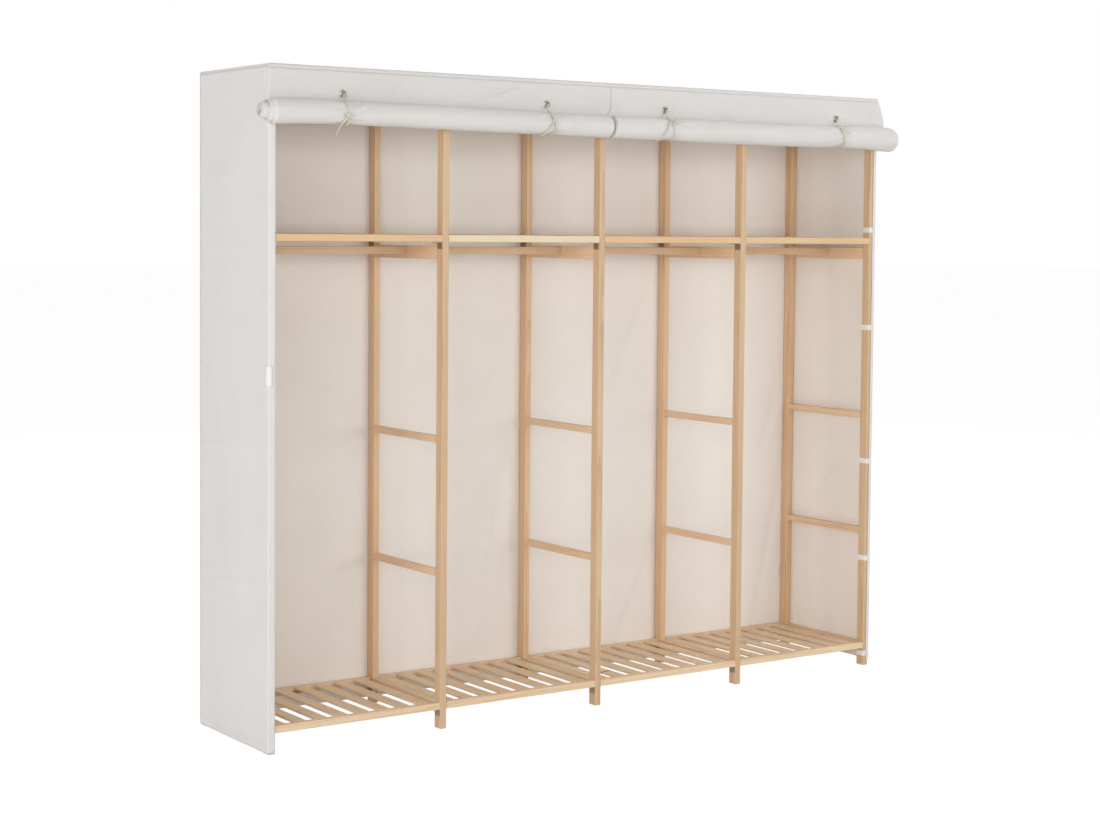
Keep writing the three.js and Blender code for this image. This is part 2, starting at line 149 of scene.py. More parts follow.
for name, place, (width, height), power in LAMPS:
    lamp = bpy.data.lights.new(name, "AREA")
    lamp.shape = "RECTANGLE"
    lamp.size, lamp.size_y = width, height
    lamp.energy = power
    stand = bpy.data.objects.new(name, lamp)
    stand.location = place
    stand.rotation_euler = (Vector(LAMP_AIM) - Vector(place)).to_track_quat("-Z", "Y").to_euler()
    scene.collection.objects.link(stand)

reach = FLOOR_SIZE / 2
corners = [(-reach, -reach, 0), (reach, -reach, 0), (reach, reach, 0), (-reach, reach, 0)]
floor_mesh = bpy.data.meshes.new("studio_floor")
floor_mesh.from_pydata(corners, [], [(0, 1, 2, 3)])
floor = bpy.data.objects.new("studio_floor", floor_mesh)
scene.collection.objects.link(floor)
paper = bpy.data.materials.new("floor_paper")
paper.use_nodes = True
tree = paper.node_tree
tree.nodes.clear()
matt = lay_node(tree, "ShaderNodeBsdfDiffuse", {"Color": (FLOOR_GREY, FLOOR_GREY, FLOOR_GREY, 1.0)})
glow = lay_node(tree, "ShaderNodeEmission", {"Color": WHITE, "Strength": FLOOR_BRIGHTNESS})
share = lay_math(tree, "MULTIPLY", seen_straight(tree), FLOOR_GLOW)
both = lay_node(tree, "ShaderNodeMixShader", {0: share, 1: matt.outputs[0], 2: glow.outputs[0]})
lay_node(tree, "ShaderNodeOutputMaterial", {"Surface": both.outputs[0]})
floor_mesh.materials.append(paper)

# Cord ties. Soft cream cotton cord, one length for each tie. It leaves the front of its eyelet, lies over
# the rolled curtain, passes under it and comes up behind the valance to the back of the same eyelet. Its
# two ends are knotted over the roll and hang loose.
COVER_FRONT = -0.16685
COVER_TOP = 1.7
COVER_SIDE = 1.0
CLOTH_THICKNESS = 0.0012
EDGE_RADIUS = 0.006
ROLL_HEIGHT = 1.581
ROLL_RADIUS = 0.033
ROLL_SEAT = 0.0333
ROLL_GAP = 0.0003
ROLL_MIDDLE = COVER_FRONT - ROLL_GAP - ROLL_RADIUS
ROLL_RISES = (
    (-1.03, 0.002), (-0.9, 0.005), (-0.74, 0.005), (-0.55, 0.0035), (-0.3, 0.0015), (-0.05, -0.001),
    (0.25, -0.001), (0.45, -0.003), (0.62, -0.003), (0.78, -0.001), (0.9, 0.001), (0.98, -0.002),
    (1.03, -0.004),
)
ROLL_GIRTH_SHARES = (
    (-1.03, 1.0), (-0.88, 0.98), (-0.75, 0.96), (-0.65, 0.93), (-0.54, 0.95), (-0.29, 0.96), (-0.1, 0.94),
    (0.06, 0.94), (0.13, 0.96), (0.27, 1.01), (0.41, 1.01), (0.55, 0.98), (0.7, 1.0), (0.9, 1.04),
    (0.98, 1.11), (1.03, 1.08),
)
FULL_GIRTH_SHARE = 0.985
EYELET_HEIGHT = 1.634
VALANCE_LEAN = 0.022
VALANCE_BULGE = 0.006
VALANCE_WRINKLE = 0.0016
LEAN_START_SHARE = 0.55
LEAN_RUN_SHARE = 0.45
VALANCE_CREASES = (
    (-0.444, 1.630, -0.284, 1.677, 0.007, 0.0042),
    (-0.365, 1.641, -0.256, 1.671, 0.006, -0.0036),
    (-0.031, 1.659, -0.144, 1.622, 0.008, 0.0044),
    (-0.098, 1.647, -0.091, 1.632, 0.0035, -0.0045),
    (0.453, 1.669, 0.550, 1.636, 0.008, 0.0040),
    (1.000, 1.692, 0.945, 1.625, 0.008, -0.0050),
    (0.150, 1.643, 0.190, 1.624, 0.005, -0.0048),
    (-0.640, 1.668, -0.700, 1.634, 0.009, 0.0030),
    (0.700, 1.664, 0.780, 1.640, 0.008, 0.0030),
    (0.770, 1.640, 0.795, 1.618, 0.005, -0.0040),
)
CREASE_DEPTH_SHARE = 1.4
CORD_DIAMETER = 0.0036
CORD_SIDES = 10
CORD_STEPS = 9
CORD_FOLLOW_REACH = 0.024
CORD_RISE_START = 4
CORD_RISE_RUN = 18
TAIL_WIDTH = 0.0048
TAIL_FLATNESS = 0.45
TAIL_START_SHARE = 0.75
TAIL_TIP_SHARE = 0.6
TIE_PLACES = (-0.798, -0.188, 0.205, 0.826)
WAIST_SHARE = 0.86
WAIST_SHIFT = 0.010
PINCH_REACH = 0.070
# The route of each tie, from its eyelet, in millimetres, as are the two values of its rise.
TIE_ROUTE = (
    (0, -0.6, 0), (0, -5, -0.6), (-1, -9.5, -4), (-5, -14, -11), (-10, -20, -18), (-14, -28, -21.6),
    (-16, -38.7, -22), (-17, -49.1, -25.8), (-17, -57.4, -32.8), (-16.5, -62.8, -42.2), (-15, -64.7, -53),
    (-12.5, -62.8, -63.8), (-10, -57.4, -73.2), (-8.5, -49.1, -80.2), (-7, -38.7, -83.9), (-6, -27.9, -83.9),
    (-5, -17.6, -80.2), (-4, -9.2, -73.2), (-3, -1.8, -64.5), (-2, 4.9, -53), (-1.5, 6, -40), (-1, 6.2, -28),
    (-0.5, 8, -17.5), (0, 10.5, -9), (0, 8.5, -2), (0, 2.6, 0),
)


def edge_inset(z):
    """How far the rounded upper edge of the cover is drawn in at a height."""
    rise = max(0.0, z - (COVER_TOP - EDGE_RADIUS))
    return EDGE_RADIUS - math.sqrt(max(0.0, EDGE_RADIUS**2 - rise**2))


def between(table, place):
    """A value from a table of places and values."""
    for (a, start), (b, end) in zip(table, table[1:]):
        if place <= b:
            return start + max(0.0, place - a) / (b - a) * (end - start)
    return table[-1][1]


def pressed(creases, a, b):
    """How far the creases push the cloth out at a point. Each runs from one point to another, with a width
    and a height, and dies away towards its ends."""
    push = 0.0
    for a1, b1, a2, b2, width, height in creases:
        run_a, run_b = a2 - a1, b2 - b1
        along = max(0.0, min(1.0, ((a - a1) * run_a + (b - b1) * run_b) / (run_a**2 + run_b**2)))
        gap = math.hypot(a - a1 - along * run_a, b - b1 - along * run_b)
        if gap < 3 * width:
            swell = 0.2 + 0.8 * math.sin(math.pi * (0.06 + 0.88 * along))
            push += height * math.exp(-((gap / width) ** 2)) * swell
    return push


def roll_height(x):
    """How high the middle of the roll lies at a place."""
    return ROLL_HEIGHT + between(ROLL_RISES, x)


def valance_front(x, z):
    """Where the outside of the valance hangs. It leans out to the right and follows the back of the roll."""
    roll_top = roll_height(x) + ROLL_SEAT
    drop = min(1.0, (COVER_TOP - z) / (COVER_TOP - roll_top))
    ease = drop * drop * (3 - 2 * drop)
    right = max(0.0, (x / COVER_SIDE - LEAN_START_SHARE) / LEAN_RUN_SHARE)
    wrinkle = 1 + math.sin(9 * x / COVER_SIDE + 4 * drop) * math.sin(23 * x / COVER_SIDE - 5 * drop)
    out = VALANCE_LEAN * right**2 + VALANCE_WRINKLE * wrinkle
    bulge = VALANCE_BULGE * right**2 * math.sin(math.pi * drop)
    free = COVER_FRONT + edge_inset(z) * 0.8 - out * ease - bulge
    free -= CREASE_DEPTH_SHARE * pressed(VALANCE_CREASES, x, z) * min(1.0, 5 * drop, 1.3 * (1 - drop) + 0.1)
    above = min(1.0, abs(z - roll_height(x)) / ROLL_SEAT)
    hugging = ROLL_MIDDLE + ROLL_SEAT * math.sqrt(1 - above**2)
    return free if z > roll_top else max(free, hugging)


def roll_shape(x):
    """The middle of the roll's section and its radius at a place. Each tie draws the roll in."""
    gap = min(abs(x - place + WAIST_SHIFT) for place in TIE_PLACES)
    pinch = min(1.0, max(0.0, 1.2 * (1 - gap / PINCH_REACH))) ** 2
    girth = between(ROLL_GIRTH_SHARES, x)
    girth += pinch * (WAIST_SHARE - girth)
    return ROLL_MIDDLE - ROLL_RADIUS * max(0.0, girth - FULL_GIRTH_SHARE), roll_height(x), ROLL_RADIUS * girth


def on_roll(x, angle, lift):
    """A point over the roll: its angle is above the front, and lift is its height above the cloth."""
    y, z, radius = roll_shape(x)
    turn = math.radians(angle)
    return Vector((x, y - (radius + lift) * math.cos(turn), z + (radius + lift) * math.sin(turn)))


def smooth_line(points, steps):
    """A smooth line through the points, with the same number of steps between each two."""
    points = [Vector(p) for p in points]
    ends = [2 * points[0] - points[1], *points, 2 * points[-1] - points[-2]]
    line = []
    for a, b, c, d in zip(ends, ends[1:], ends[2:], ends[3:]):
        for step in range(steps):
            t = step / steps
            bend = 2 * a - 5 * b + 4 * c - d
            turn = 3 * b - a - 3 * c + d
            line.append(0.5 * (2 * b + (c - a) * t + bend * t**2 + turn * t**3))
    line.append(points[-1])
    return line


def put_in_scene(name, bm, *materials):
    """Makes an object of a drawn mesh, smooth all over, with its materials."""
    mesh = bpy.data.meshes.new(name)
    bm.to_mesh(mesh)
    bm.free()
    made = bpy.data.objects.new(name, mesh)
    scene.collection.objects.link(made)
    for material in materials:
        mesh.materials.append(material)
    mesh.shade_smooth()
    return made


def cord_tube(name, line, diameters, material, flatness=1.0):
    """A closed tube along a line, with one diameter for each of its points, and its length as UV. A flat one
    lies flat on the roll."""
    bm = bmesh.new()
    uv = bm.loops.layers.uv.new("UVMap")
    rings = []
    runs = [0.0]
    side = None
    for i, point in enumerate(line):
        ahead = (line[min(i + 1, len(line) - 1)] - line[max(i - 1, 0)]).normalized()
        if flatness < 1:
            side = ahead.cross(point - Vector((point.x, *roll_shape(point.x)[:2])))
        side = (side if side else ahead.orthogonal()).normalized()
        side = (side - ahead * side.dot(ahead)).normalized()
        across = ahead.cross(side)
        if i:
            runs.append(runs[-1] + (point - line[i - 1]).length)
        ring = []
        for k in range(CORD_SIDES):
            angle = 2 * math.pi * k / CORD_SIDES
            out = side * math.cos(angle) + across * math.sin(angle) * flatness
            ring.append(bm.verts.new(point + out * diameters[i] / 2))
        rings.append(ring)
    for i in range(len(rings) - 1):
        for k in range(CORD_SIDES):
            n = (k + 1) % CORD_SIDES
            face = bm.faces.new((rings[i][k], rings[i][n], rings[i + 1][n], rings[i + 1][k]))
            for loop, (u, v) in zip(face.loops, ((k, i), (k + 1, i), (k + 1, i + 1), (k, i + 1))):
                loop[uv].uv = (u / CORD_SIDES, runs[v])
    bm.faces.new(rings[0][::-1])
    bm.faces.new(rings[-1])
    return put_in_scene(name, bm, material)


def shade(red, green, blue):
    """A colour as it is seen, from 0 to 255, in the linear values of a shader."""
    return (*(((c / 255 + 0.055) / 1.055) ** 2.4 for c in (red, green, blue)), 1.0)


def plain_material(name, colour, roughness, metallic=0.0):
    """A material with a Principled surface. Returns it with its tree and its surface node."""
    material = bpy.data.materials.new(name)
    material.use_nodes = True
    surface = material.node_tree.nodes["Principled BSDF"]
    feed(surface, {"Base Color": colour, "Roughness": roughness, "Metallic": metallic})
    material.diffuse_color = colour
    return material, material.node_tree, surface


def mixed(tree, share, first, second):
    """Two colours, mixed by a share."""
    return lay_node(tree, "ShaderNodeMix", {0: share, 6: first, 7: second}, data_type="RGBA").outputs[2]


def raised(tree, height, strength, depth, under=None):
    """The normal of a surface that a pattern raises, over another such normal if one is given."""
    inputs = {"Height": height, "Strength": strength, "Distance": depth}
    if under:
        inputs["Normal"] = under
    return lay_node(tree, "ShaderNodeBump", inputs).outputs[0]


tie_cord, tree, surface = plain_material("tie_cord", shade(238, 234, 226), 0.85)
along = lay_node(tree, "ShaderNodeTexCoord").outputs["UV"]
strands = lay_node(tree, "ShaderNodeMapping", {"Vector": along, "Scale": (2.0, 420.0, 1.0)}).outputs[0]
lay = lay_node(tree, "ShaderNodeTexWave", {"Vector": strands, "Scale": 0.314}, bands_direction="DIAGONAL")
tint = mixed(tree, lay.outputs["Fac"], shade(196, 188, 176), shade(232, 227, 218))
feed(surface, {"Base Color": tint, "Normal": raised(tree, lay.outputs["Fac"], 0.6, 0.0006)})

# The loose ends of each tie, and its loop or bow. Each is a run over the roll, of places beside the eyelet in
# millimetres, angles above the roll's front, and heights over the cloth in millimetres.
TIE_ENDS = (
    (
        ((-18, -16, 4.5), (-24, -40, 4), (-32, -58, 8), (-39, -68, 17), (-45, -74, 28)),
        ((-18, -16, 4.5), (-15, -40, 3.5), (-12, -60, 3), (-11, -76, 3)),
        ((-29, -10, 4.5), (-23, -13, 6.5), (-16, -17, 7), (-8, -21, 4.5)),
    ),
    (
        ((-15, 38, 4.5), (-20, 10, 3.5), (-30, -25, 3.5), (-40, -58, 4), (-48, -82, 5)),
        ((-15, 38, 4.5), (-11, 5, 3.5), (-8, -40, 3.5), (-9, -78, 4)),
    ),
    (
        ((-17, 56, 4.5), (-28, 30, 3.5), (-41, -10, 3.5), (-52, -50, 4), (-58, -80, 5)),
        ((-17, 56, 4.5), (-6, 62, 5), (4, 52, 4.5), (9, 40, 4), (3, 34, 4), (-9, 44, 4.2)),
    ),
    (
        ((-17, 52, 4.5), (-8, 42, 4), (0, 28, 3.5), (6, 15, 3.5)),
        ((-17, 52, 4.5), (-13, 10, 3.5), (-8, -35, 3.5), (-5, -72, 4)),
    ),
)
KNOT_PLACES = ((-17.5, -16), (-15.5, 38), (-17, 56), (-17, 52))
KNOT_SIZE = 0.0019
KNOT_LIFT = 0.0052
KNOT_LEAN = 0.3
KNOT_STEPS = 48

for number, place in enumerate(TIE_PLACES, 1):
    lean = valance_front(place, EYELET_HEIGHT) - COVER_FRONT
    rise = roll_height(place) - ROLL_HEIGHT
    route = []
    for dx, dy, dz in TIE_ROUTE:
        follow = max(0.0, 1 + dz / 1000 / CORD_FOLLOW_REACH)
        lift = rise * min(1.0, max(0.0, (-dz - CORD_RISE_START) / CORD_RISE_RUN))
        y = COVER_FRONT + dy / 1000 + lean * follow
        route.append((place + dx / 1000, y, EYELET_HEIGHT + dz / 1000 + lift))
    line = smooth_line(route, CORD_STEPS)
    tie = cord_tube(f"cord_tie_{number}", line, [CORD_DIAMETER] * len(line), tie_cord)
    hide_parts(f"tie_{number}")
    ends = []
    for tail, waypoints in enumerate(TIE_ENDS[number - 1], 1):
        points = [on_roll(place + dx / 1000, angle, lift / 1000) for dx, angle, lift in waypoints]
        tail_line = smooth_line(points, CORD_STEPS)
        last = len(tail_line) - 1
        swell = [min(1, 4 * i / last) for i in range(last + 1)]
        widths = [TAIL_WIDTH * (TAIL_START_SHARE + (1 - TAIL_START_SHARE) * share) for share in swell]
        widths[-1] *= TAIL_TIP_SHARE
        ends.append(cord_tube(f"cord_tie_{number}_end_{tail}", tail_line, widths, tie_cord, TAIL_FLATNESS))
    dx, angle = KNOT_PLACES[number - 1]
    middle = on_roll(place + dx / 1000, angle, KNOT_LIFT)
    loops = []
    for k in range(KNOT_STEPS + 1):
        t = 2 * math.pi * k / KNOT_STEPS
        across = math.sin(t) + 2 * math.sin(2 * t)
        turned = Vector((across, -1.1 * math.sin(3 * t), math.cos(t) - 2 * math.cos(2 * t)))
        turned.rotate(Euler((-math.radians(angle), KNOT_LEAN, 0)))
        loops.append(middle + turned * KNOT_SIZE)
    ends.append(cord_tube(f"cord_tie_{number}_knot", loops, [CORD_DIAMETER] * len(loops), tie_cord))
    for piece in (tie, *ends):
        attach(piece, "wardrobe")
        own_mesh(piece)

# Frame. Five ladder frames of planed pine laths, screwed together, joined by two top rails. The edges of
# the posts are eased, and the grain runs along each lath.
FRONT_POSTS = [f"front_post_{n}" for n in range(1, 6)]
REAR_POSTS = [f"rear_post_{n}" for n in range(1, 6)]
RUNG_KINDS = ("shelf", "upper_middle", "lower_middle", "base", "top")
RUNGS = [f"{kind}_rung_{n}" for kind in RUNG_KINDS for n in range(1, 6)]
TOP_RAILS = ["top_front_rail", "top_rear_rail"]
POST_LIGHT = shade(218, 188, 153)
POST_DARK = shade(189, 150, 109)
KNOT_BROWN = shade(150, 100, 60)
RING_SPACING = 0.006
GRAIN_DEPTH = 0.0004
GRAIN_WANDER = 0.03
LATE_SHARE = 0.5
FIBRE_SHARE = 0.45
BLOTCH_SHARE = 0.7
BLOTCH_START = -0.42
KNOT_SHARE = 0.75
KNOT_RIM = 0.075
KNOT_HEART = 0.045
LEAST_PINE_ROUGHNESS = 0.46
PINE_ROUGHNESS_SPREAD = 0.16
SURFACE_OUTPUTS = [
    ("Color", "NodeSocketColor"),
    ("Roughness", "NodeSocketFloat"),
    ("Height", "NodeSocketFloat"),
]


def new_group(name, inputs, outputs):
    """A shader group with its named sockets. Returns the group, its inputs and its output node."""
    group = bpy.data.node_groups.new(name, "ShaderNodeTree")
    for socket, kind, value in inputs:
        made = group.interface.new_socket(socket, in_out="INPUT", socket_type=kind)
        if value is not None:
            made.default_value = value
    for socket, kind in outputs:
        group.interface.new_socket(socket, in_out="OUTPUT", socket_type=kind)
    entry = group.nodes.new("NodeGroupInput")
    return group, entry.outputs, group.nodes.new("NodeGroupOutput")


pine_grain, given, result = new_group(
    "pine_grain",
    [
        ("Vector", "NodeSocketVector", None),
        ("Light", "NodeSocketColor", POST_LIGHT),
        ("Dark", "NodeSocketColor", POST_DARK),
        ("Ring Spacing", "NodeSocketFloat", RING_SPACING),
    ],
    SURFACE_OUTPUTS,
)
tree = pine_grain
drawn = lay_node(tree, "ShaderNodeMapping", {"Vector": given["Vector"], "Scale": (1.0, 1.0, 0.05)}).outputs[0]
wander = lay_node(tree, "ShaderNodeTexNoise", {"Vector": drawn, "Scale": 22.0, "Detail": 2.0})
inputs = {0: wander.outputs["Color"], 1: (0.5, 0.5, 0.5)}
centred = lay_node(tree, "ShaderNodeVectorMath", inputs, operation="SUBTRACT")
inputs = {0: centred.outputs[0], "Scale": GRAIN_WANDER}
pushed = lay_node(tree, "ShaderNodeVectorMath", inputs, operation="SCALE")
bent = lay_node(tree, "ShaderNodeVectorMath", {0: drawn, 1: pushed.outputs[0]}, operation="ADD")
pith = lay_node(tree, "ShaderNodeVectorMath", {0: bent.outputs[0]}, operation="LENGTH")
turns = lay_math(tree, "DIVIDE", pith.outputs["Value"], given["Ring Spacing"])
late = lay_math(tree, "POWER", lay_math(tree, "FRACT", turns), 3.0)
streaks = lay_node(tree, "ShaderNodeMapping", {"Vector": given["Vector"], "Scale": (1400.0, 1400.0, 26.0)})
fibre = lay_node(tree, "ShaderNodeTexNoise", {"Vector": streaks.outputs[0], "Scale": 1.0, "Detail": 3.0})
patch = lay_node(tree, "ShaderNodeTexNoise", {"Vector": given["Vector"], "Scale": 3.3, "Detail": 3.0})
knot_room = lay_node(tree, "ShaderNodeMapping", {"Vector": given["Vector"], "Scale": (9.0, 9.0, 2.6)})
knots = lay_node(tree, "ShaderNodeTexVoronoi", {"Vector": knot_room.outputs[0], "Scale": 1.0})
inputs = {0: knots.outputs["Distance"], 1: KNOT_RIM, 2: KNOT_HEART, 3: 0.0, 4: 1.0}
knot = lay_node(tree, "ShaderNodeMapRange", inputs)
fine = lay_math(tree, "MULTIPLY", fibre.outputs["Fac"], FIBRE_SHARE)
amount = lay_math(tree, "MULTIPLY_ADD", late, LATE_SHARE, fine)
blotch = lay_math(tree, "MULTIPLY_ADD", patch.outputs["Fac"], BLOTCH_SHARE, BLOTCH_START)
amount = lay_math(tree, "ADD", amount, blotch, clamp=True)
wood = mixed(tree, amount, given["Light"], given["Dark"])
feed(result, {
    "Color": mixed(tree, lay_math(tree, "MULTIPLY", knot.outputs[0], KNOT_SHARE), wood, KNOT_BROWN),
    "Roughness": lay_math(tree, "MULTIPLY_ADD", amount, PINE_ROUGHNESS_SPREAD, LEAST_PINE_ROUGHNESS),
    "Height": lay_math(tree, "MULTIPLY_ADD", late, 0.35, fibre.outputs["Fac"]),
})


def pine(name, along, light=POST_LIGHT, dark=POST_DARK, spacing=RING_SPACING):
    """Planed pine with its grain along one axis."""
    material, tree, surface = plain_material(name, light, 0.5)
    place = lay_node(tree, "ShaderNodeTexCoord").outputs["Object"]
    axes = lay_node(tree, "ShaderNodeSeparateXYZ", {0: place}).outputs
    order = {"x": (1, 2, 0), "y": (2, 0, 1), "z": (0, 1, 2)}[along]
    turned = lay_node(tree, "ShaderNodeCombineXYZ", {i: axes[k] for i, k in enumerate(order)}).outputs[0]
    inputs = {"Vector": turned, "Light": light, "Dark": dark, "Ring Spacing": spacing}
    grain = lay_node(tree, "ShaderNodeGroup", inputs, node_tree=pine_grain).outputs
    relief = raised(tree, grain["Height"], 0.35, GRAIN_DEPTH)
    feed(surface, {"Base Color": grain["Color"], "Roughness": grain["Roughness"], "Normal": relief})
    return material


def finish_nodes(names, material):
    """Gives nodes of the frame their finish."""
    for name in names:
        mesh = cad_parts[name].data
        mesh.materials.clear()
        mesh.materials.append(material)


finish_nodes(FRONT_POSTS, pine("post_pine", "z"))
# The rear posts get a paler copy of the post pine, painted light that makes up for the shade they stand in at
# the back of the bays.
finish_nodes(REAR_POSTS, pine("rear_pine_painted_light", "z", shade(229, 196, 159), shade(201, 158, 115)))
finish_nodes(RUNGS, pine("rung_pine", "y", shade(238, 208, 174), shade(212, 172, 132)))
finish_nodes(TOP_RAILS, pine("rail_pine", "x"))

# Hanging rails. One square pine rail in each bay, let in between the frames just under the top shelf. It is
# of a darker board than the shelves.
hanging_pine = pine("hanging_pine", "x", shade(220, 188, 153), shade(190, 148, 110))
finish_nodes([f"hanging_rail_{n}" for n in range(1, 5)], hanging_pine)

# Shelves. Each is two square pine rails with eight thin slats let into them, pinned at both ends. The slats
# are sawn thin, so their edges are only a little eased, and no two lie quite alike. The rails of each bay are
# cut from another board.
RAIL_SIZE = 0.018
SLAT_WIDTH = 0.032
SLAT_THICKNESS = 0.006
SLAT_SEAT = 0.008
SLAT_COUNT = 8
SLAT_LEFT_MARGIN = 0.0025
SLAT_RIGHT_MARGIN = 0.02125
SLAT_WANDER = 0.0008
SLAT_PROUD = (0.0001, 0.0006)
SLAT_TILT = 0.0012
RAIL_EASE = 0.0012
SLAT_EASE = 0.0007
PIN_RADIUS = 0.0014
PIN_INSET = 0.005
PIN_WANDER = 0.001
PIN_SHARES = (0.25, 0.75)
PIN_FLATNESS = 0.35
PIN_SIDES = 8
BOARD_SHADES = (
    ((229, 194, 152), (203, 160, 112)),
    ((236, 220, 188), (213, 191, 153)),
    ((231, 196, 152), (206, 158, 107)),
    ((227, 197, 154), (204, 168, 119)),
)


def eased_block(bm, low, high, ease, index, tilt=0.0):
    """A block with eased edges, at its place, added to a mesh."""
    low, high = Vector(low), Vector(high)
    size = high - low
    spot = Matrix.Translation((low + high) / 2) @ Matrix.Rotation(tilt, 4, "Z")
    made = bmesh.ops.create_cube(bm, size=1.0, matrix=spot @ Matrix.Diagonal((*size, 1.0)))
    edges = {edge for vertex in made["verts"] for edge in vertex.link_edges}
    faces = {face for vertex in made["verts"] for face in vertex.link_faces}
    eased = bmesh.ops.bevel(bm, geom=list(edges), offset=ease, segments=2, affect="EDGES", profile=0.5)
    for face in [f for f in faces if f.is_valid] + eased["faces"]:
        face.material_index = index


def domed_head(bm, spot, radius, flatness, sides, index=0):
    """The low domed head of a pin or a screw, added to a mesh."""
    shape = spot @ Matrix.Diagonal((1, 1, flatness, 1))
    made = bmesh.ops.create_uvsphere(bm, u_segments=sides, v_segments=sides // 2, radius=radius, matrix=shape)
    for face in {face for vertex in made["verts"] for face in vertex.link_faces}:
        face.material_index = index


def worn_metal(name, colour, roughness, metallic, scale, detail, spread, least):
    """A metal with wear that roughens it. Returns it with its tree, its surface node and the wear."""
    material, tree, surface = plain_material(name, shade(*colour), roughness, metallic)
    wear = lay_node(tree, "ShaderNodeTexNoise", {"Scale": scale, "Detail": detail}).outputs["Fac"]
    feed(surface, {"Roughness": lay_math(tree, "MULTIPLY_ADD", wear, spread, least)})
    return material, tree, surface, wear


pin_steel = worn_metal(
    "pin_steel", (168, 160, 150), roughness=0.38, metallic=0.9,
    scale=700.0, detail=2.0, spread=0.3, least=0.25,
)[0]
base_pine = pine("base_pine", "x", shade(240, 214, 180), shade(214, 178, 138))
# The slats get a paler pine than the rails, painted light that brightens them where little lamp light falls
# on them.
slat_pine_painted_light = pine("slat_pine_painted_light", "y", shade(246, 222, 186), shade(222, 187, 146), 0.005)
top_pines = []
for number, (light, dark) in enumerate(BOARD_SHADES, 1):
    top_pines.append(pine(f"top_pine_{number}", "x", shade(*light), shade(*dark)))
rng = random.Random(11)
for level in ("base", "top"):
    for number in range(1, 5):
        rails = base_pine if level == "base" else top_pines[number - 1]
        node = f"{level}_shelf_{number}"
        low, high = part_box(node)
        bm = bmesh.new()
        for y in (low.y, high.y - RAIL_SIZE):
            eased_block(bm, (low.x, y, high.z - RAIL_SIZE), (high.x, y + RAIL_SIZE, high.z), RAIL_EASE, 0)
        room_left = high.x - low.x - SLAT_LEFT_MARGIN - SLAT_RIGHT_MARGIN - SLAT_WIDTH
        inset = RAIL_SIZE - SLAT_SEAT
        for n in range(SLAT_COUNT):
            even = low.x + SLAT_LEFT_MARGIN + room_left * n / (SLAT_COUNT - 1)
            x = even + rng.uniform(-SLAT_WANDER, SLAT_WANDER)
            top = high.z + rng.uniform(*SLAT_PROUD)
            tilt = rng.uniform(-SLAT_TILT, SLAT_TILT)
            start = (x, low.y + inset, top - SLAT_THICKNESS)
            end = (x + SLAT_WIDTH, high.y - inset, top)
            eased_block(bm, start, end, SLAT_EASE, 1, tilt)
            for y in (low.y + inset + PIN_INSET, high.y - inset - PIN_INSET):
                for share in PIN_SHARES:
                    pin = x + SLAT_WIDTH * share + rng.uniform(-PIN_WANDER, PIN_WANDER)
                    domed_head(bm, Matrix.Translation((pin, y, top)), PIN_RADIUS, PIN_FLATNESS, PIN_SIDES, 2)
        shelf = put_in_scene(f"{level}_slats_{number}", bm, rails, slat_pine_painted_light, pin_steel)
        shelf.data.shade_flat()
        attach(shelf, "wardrobe")
        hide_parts(node)

# Corner brackets. Small bronzed steel plates, bent at a right angle. One leaf is screwed to the left face of
# a post and the other up into the right end of a shelf rail. The outer frames and the left ends go without.
LEAF_WIDTH = 0.023
LEAF_HEIGHT = 0.019
LEAF_THICKNESS = 0.0016
LEAF_BEND = 0.0022
LEAF_CORNER = 0.0035
SCREW_RADIUS = 0.0028
LEAF_INSET = 0.0135
BEND_STEPS = 4
SCREW_SHARE = 0.62
SCREW_FLATNESS = 0.4
SCREW_SIDES = 12
TOUCH = 1e-6


def tip_edges(bm, axis, place):
    """The short edges at the tip of a leaf, at a place along an axis."""
    level = [edge for edge in bm.edges if all(abs(vertex.co[axis] - place) < TOUCH for vertex in edge.verts)]
    return [edge for edge in level if abs(edge.verts[0].co.y - edge.verts[1].co.y) < TOUCH]


bracket_steel, tree, surface, wear = worn_metal(
    "bracket_steel", (150, 128, 104), roughness=0.45, metallic=0.6,
    scale=160.0, detail=4.0, spread=0.35, least=0.25,
)
feed(surface, {"Base Color": mixed(tree, wear, shade(126, 104, 82), shade(172, 150, 124))})

# The bracket's own frame: the bend lies along Y, the first leaf hangs down on a post at x = 0, and the
# second lies under a rail at z = 0 and points to +X.
profile = [(LEAF_THICKNESS, -LEAF_HEIGHT), (0.0, -LEAF_HEIGHT)]
for step in range(BEND_STEPS + 1):
    angle = math.pi - step * math.pi / 2 / BEND_STEPS
    profile.append((LEAF_BEND + LEAF_BEND * math.cos(angle), -LEAF_BEND + LEAF_BEND * math.sin(angle)))
profile += [(LEAF_HEIGHT, 0.0), (LEAF_HEIGHT, -LEAF_THICKNESS)]
inner = LEAF_BEND - LEAF_THICKNESS
for step in range(BEND_STEPS + 1):
    angle = math.pi / 2 + step * math.pi / 2 / BEND_STEPS
    profile.append((LEAF_BEND + inner * math.cos(angle), -LEAF_BEND + inner * math.sin(angle)))
bm = bmesh.new()
near = [bm.verts.new((x, -LEAF_WIDTH / 2, z)) for x, z in profile]
far = [bm.verts.new((x, LEAF_WIDTH / 2, z)) for x, z in profile]
count = len(profile)
for i in range(count):
    bm.faces.new((near[i], far[i], far[(i + 1) % count], near[(i + 1) % count]))
bm.faces.new(near)
bm.faces.new(far[::-1])
corners = tip_edges(bm, 2, -LEAF_HEIGHT) + tip_edges(bm, 0, LEAF_HEIGHT)
bmesh.ops.bevel(bm, geom=corners, offset=LEAF_CORNER, segments=4, affect="EDGES", profile=0.5)
bmesh.ops.recalc_face_normals(bm, faces=bm.faces)
reach = SCREW_SHARE * LEAF_HEIGHT
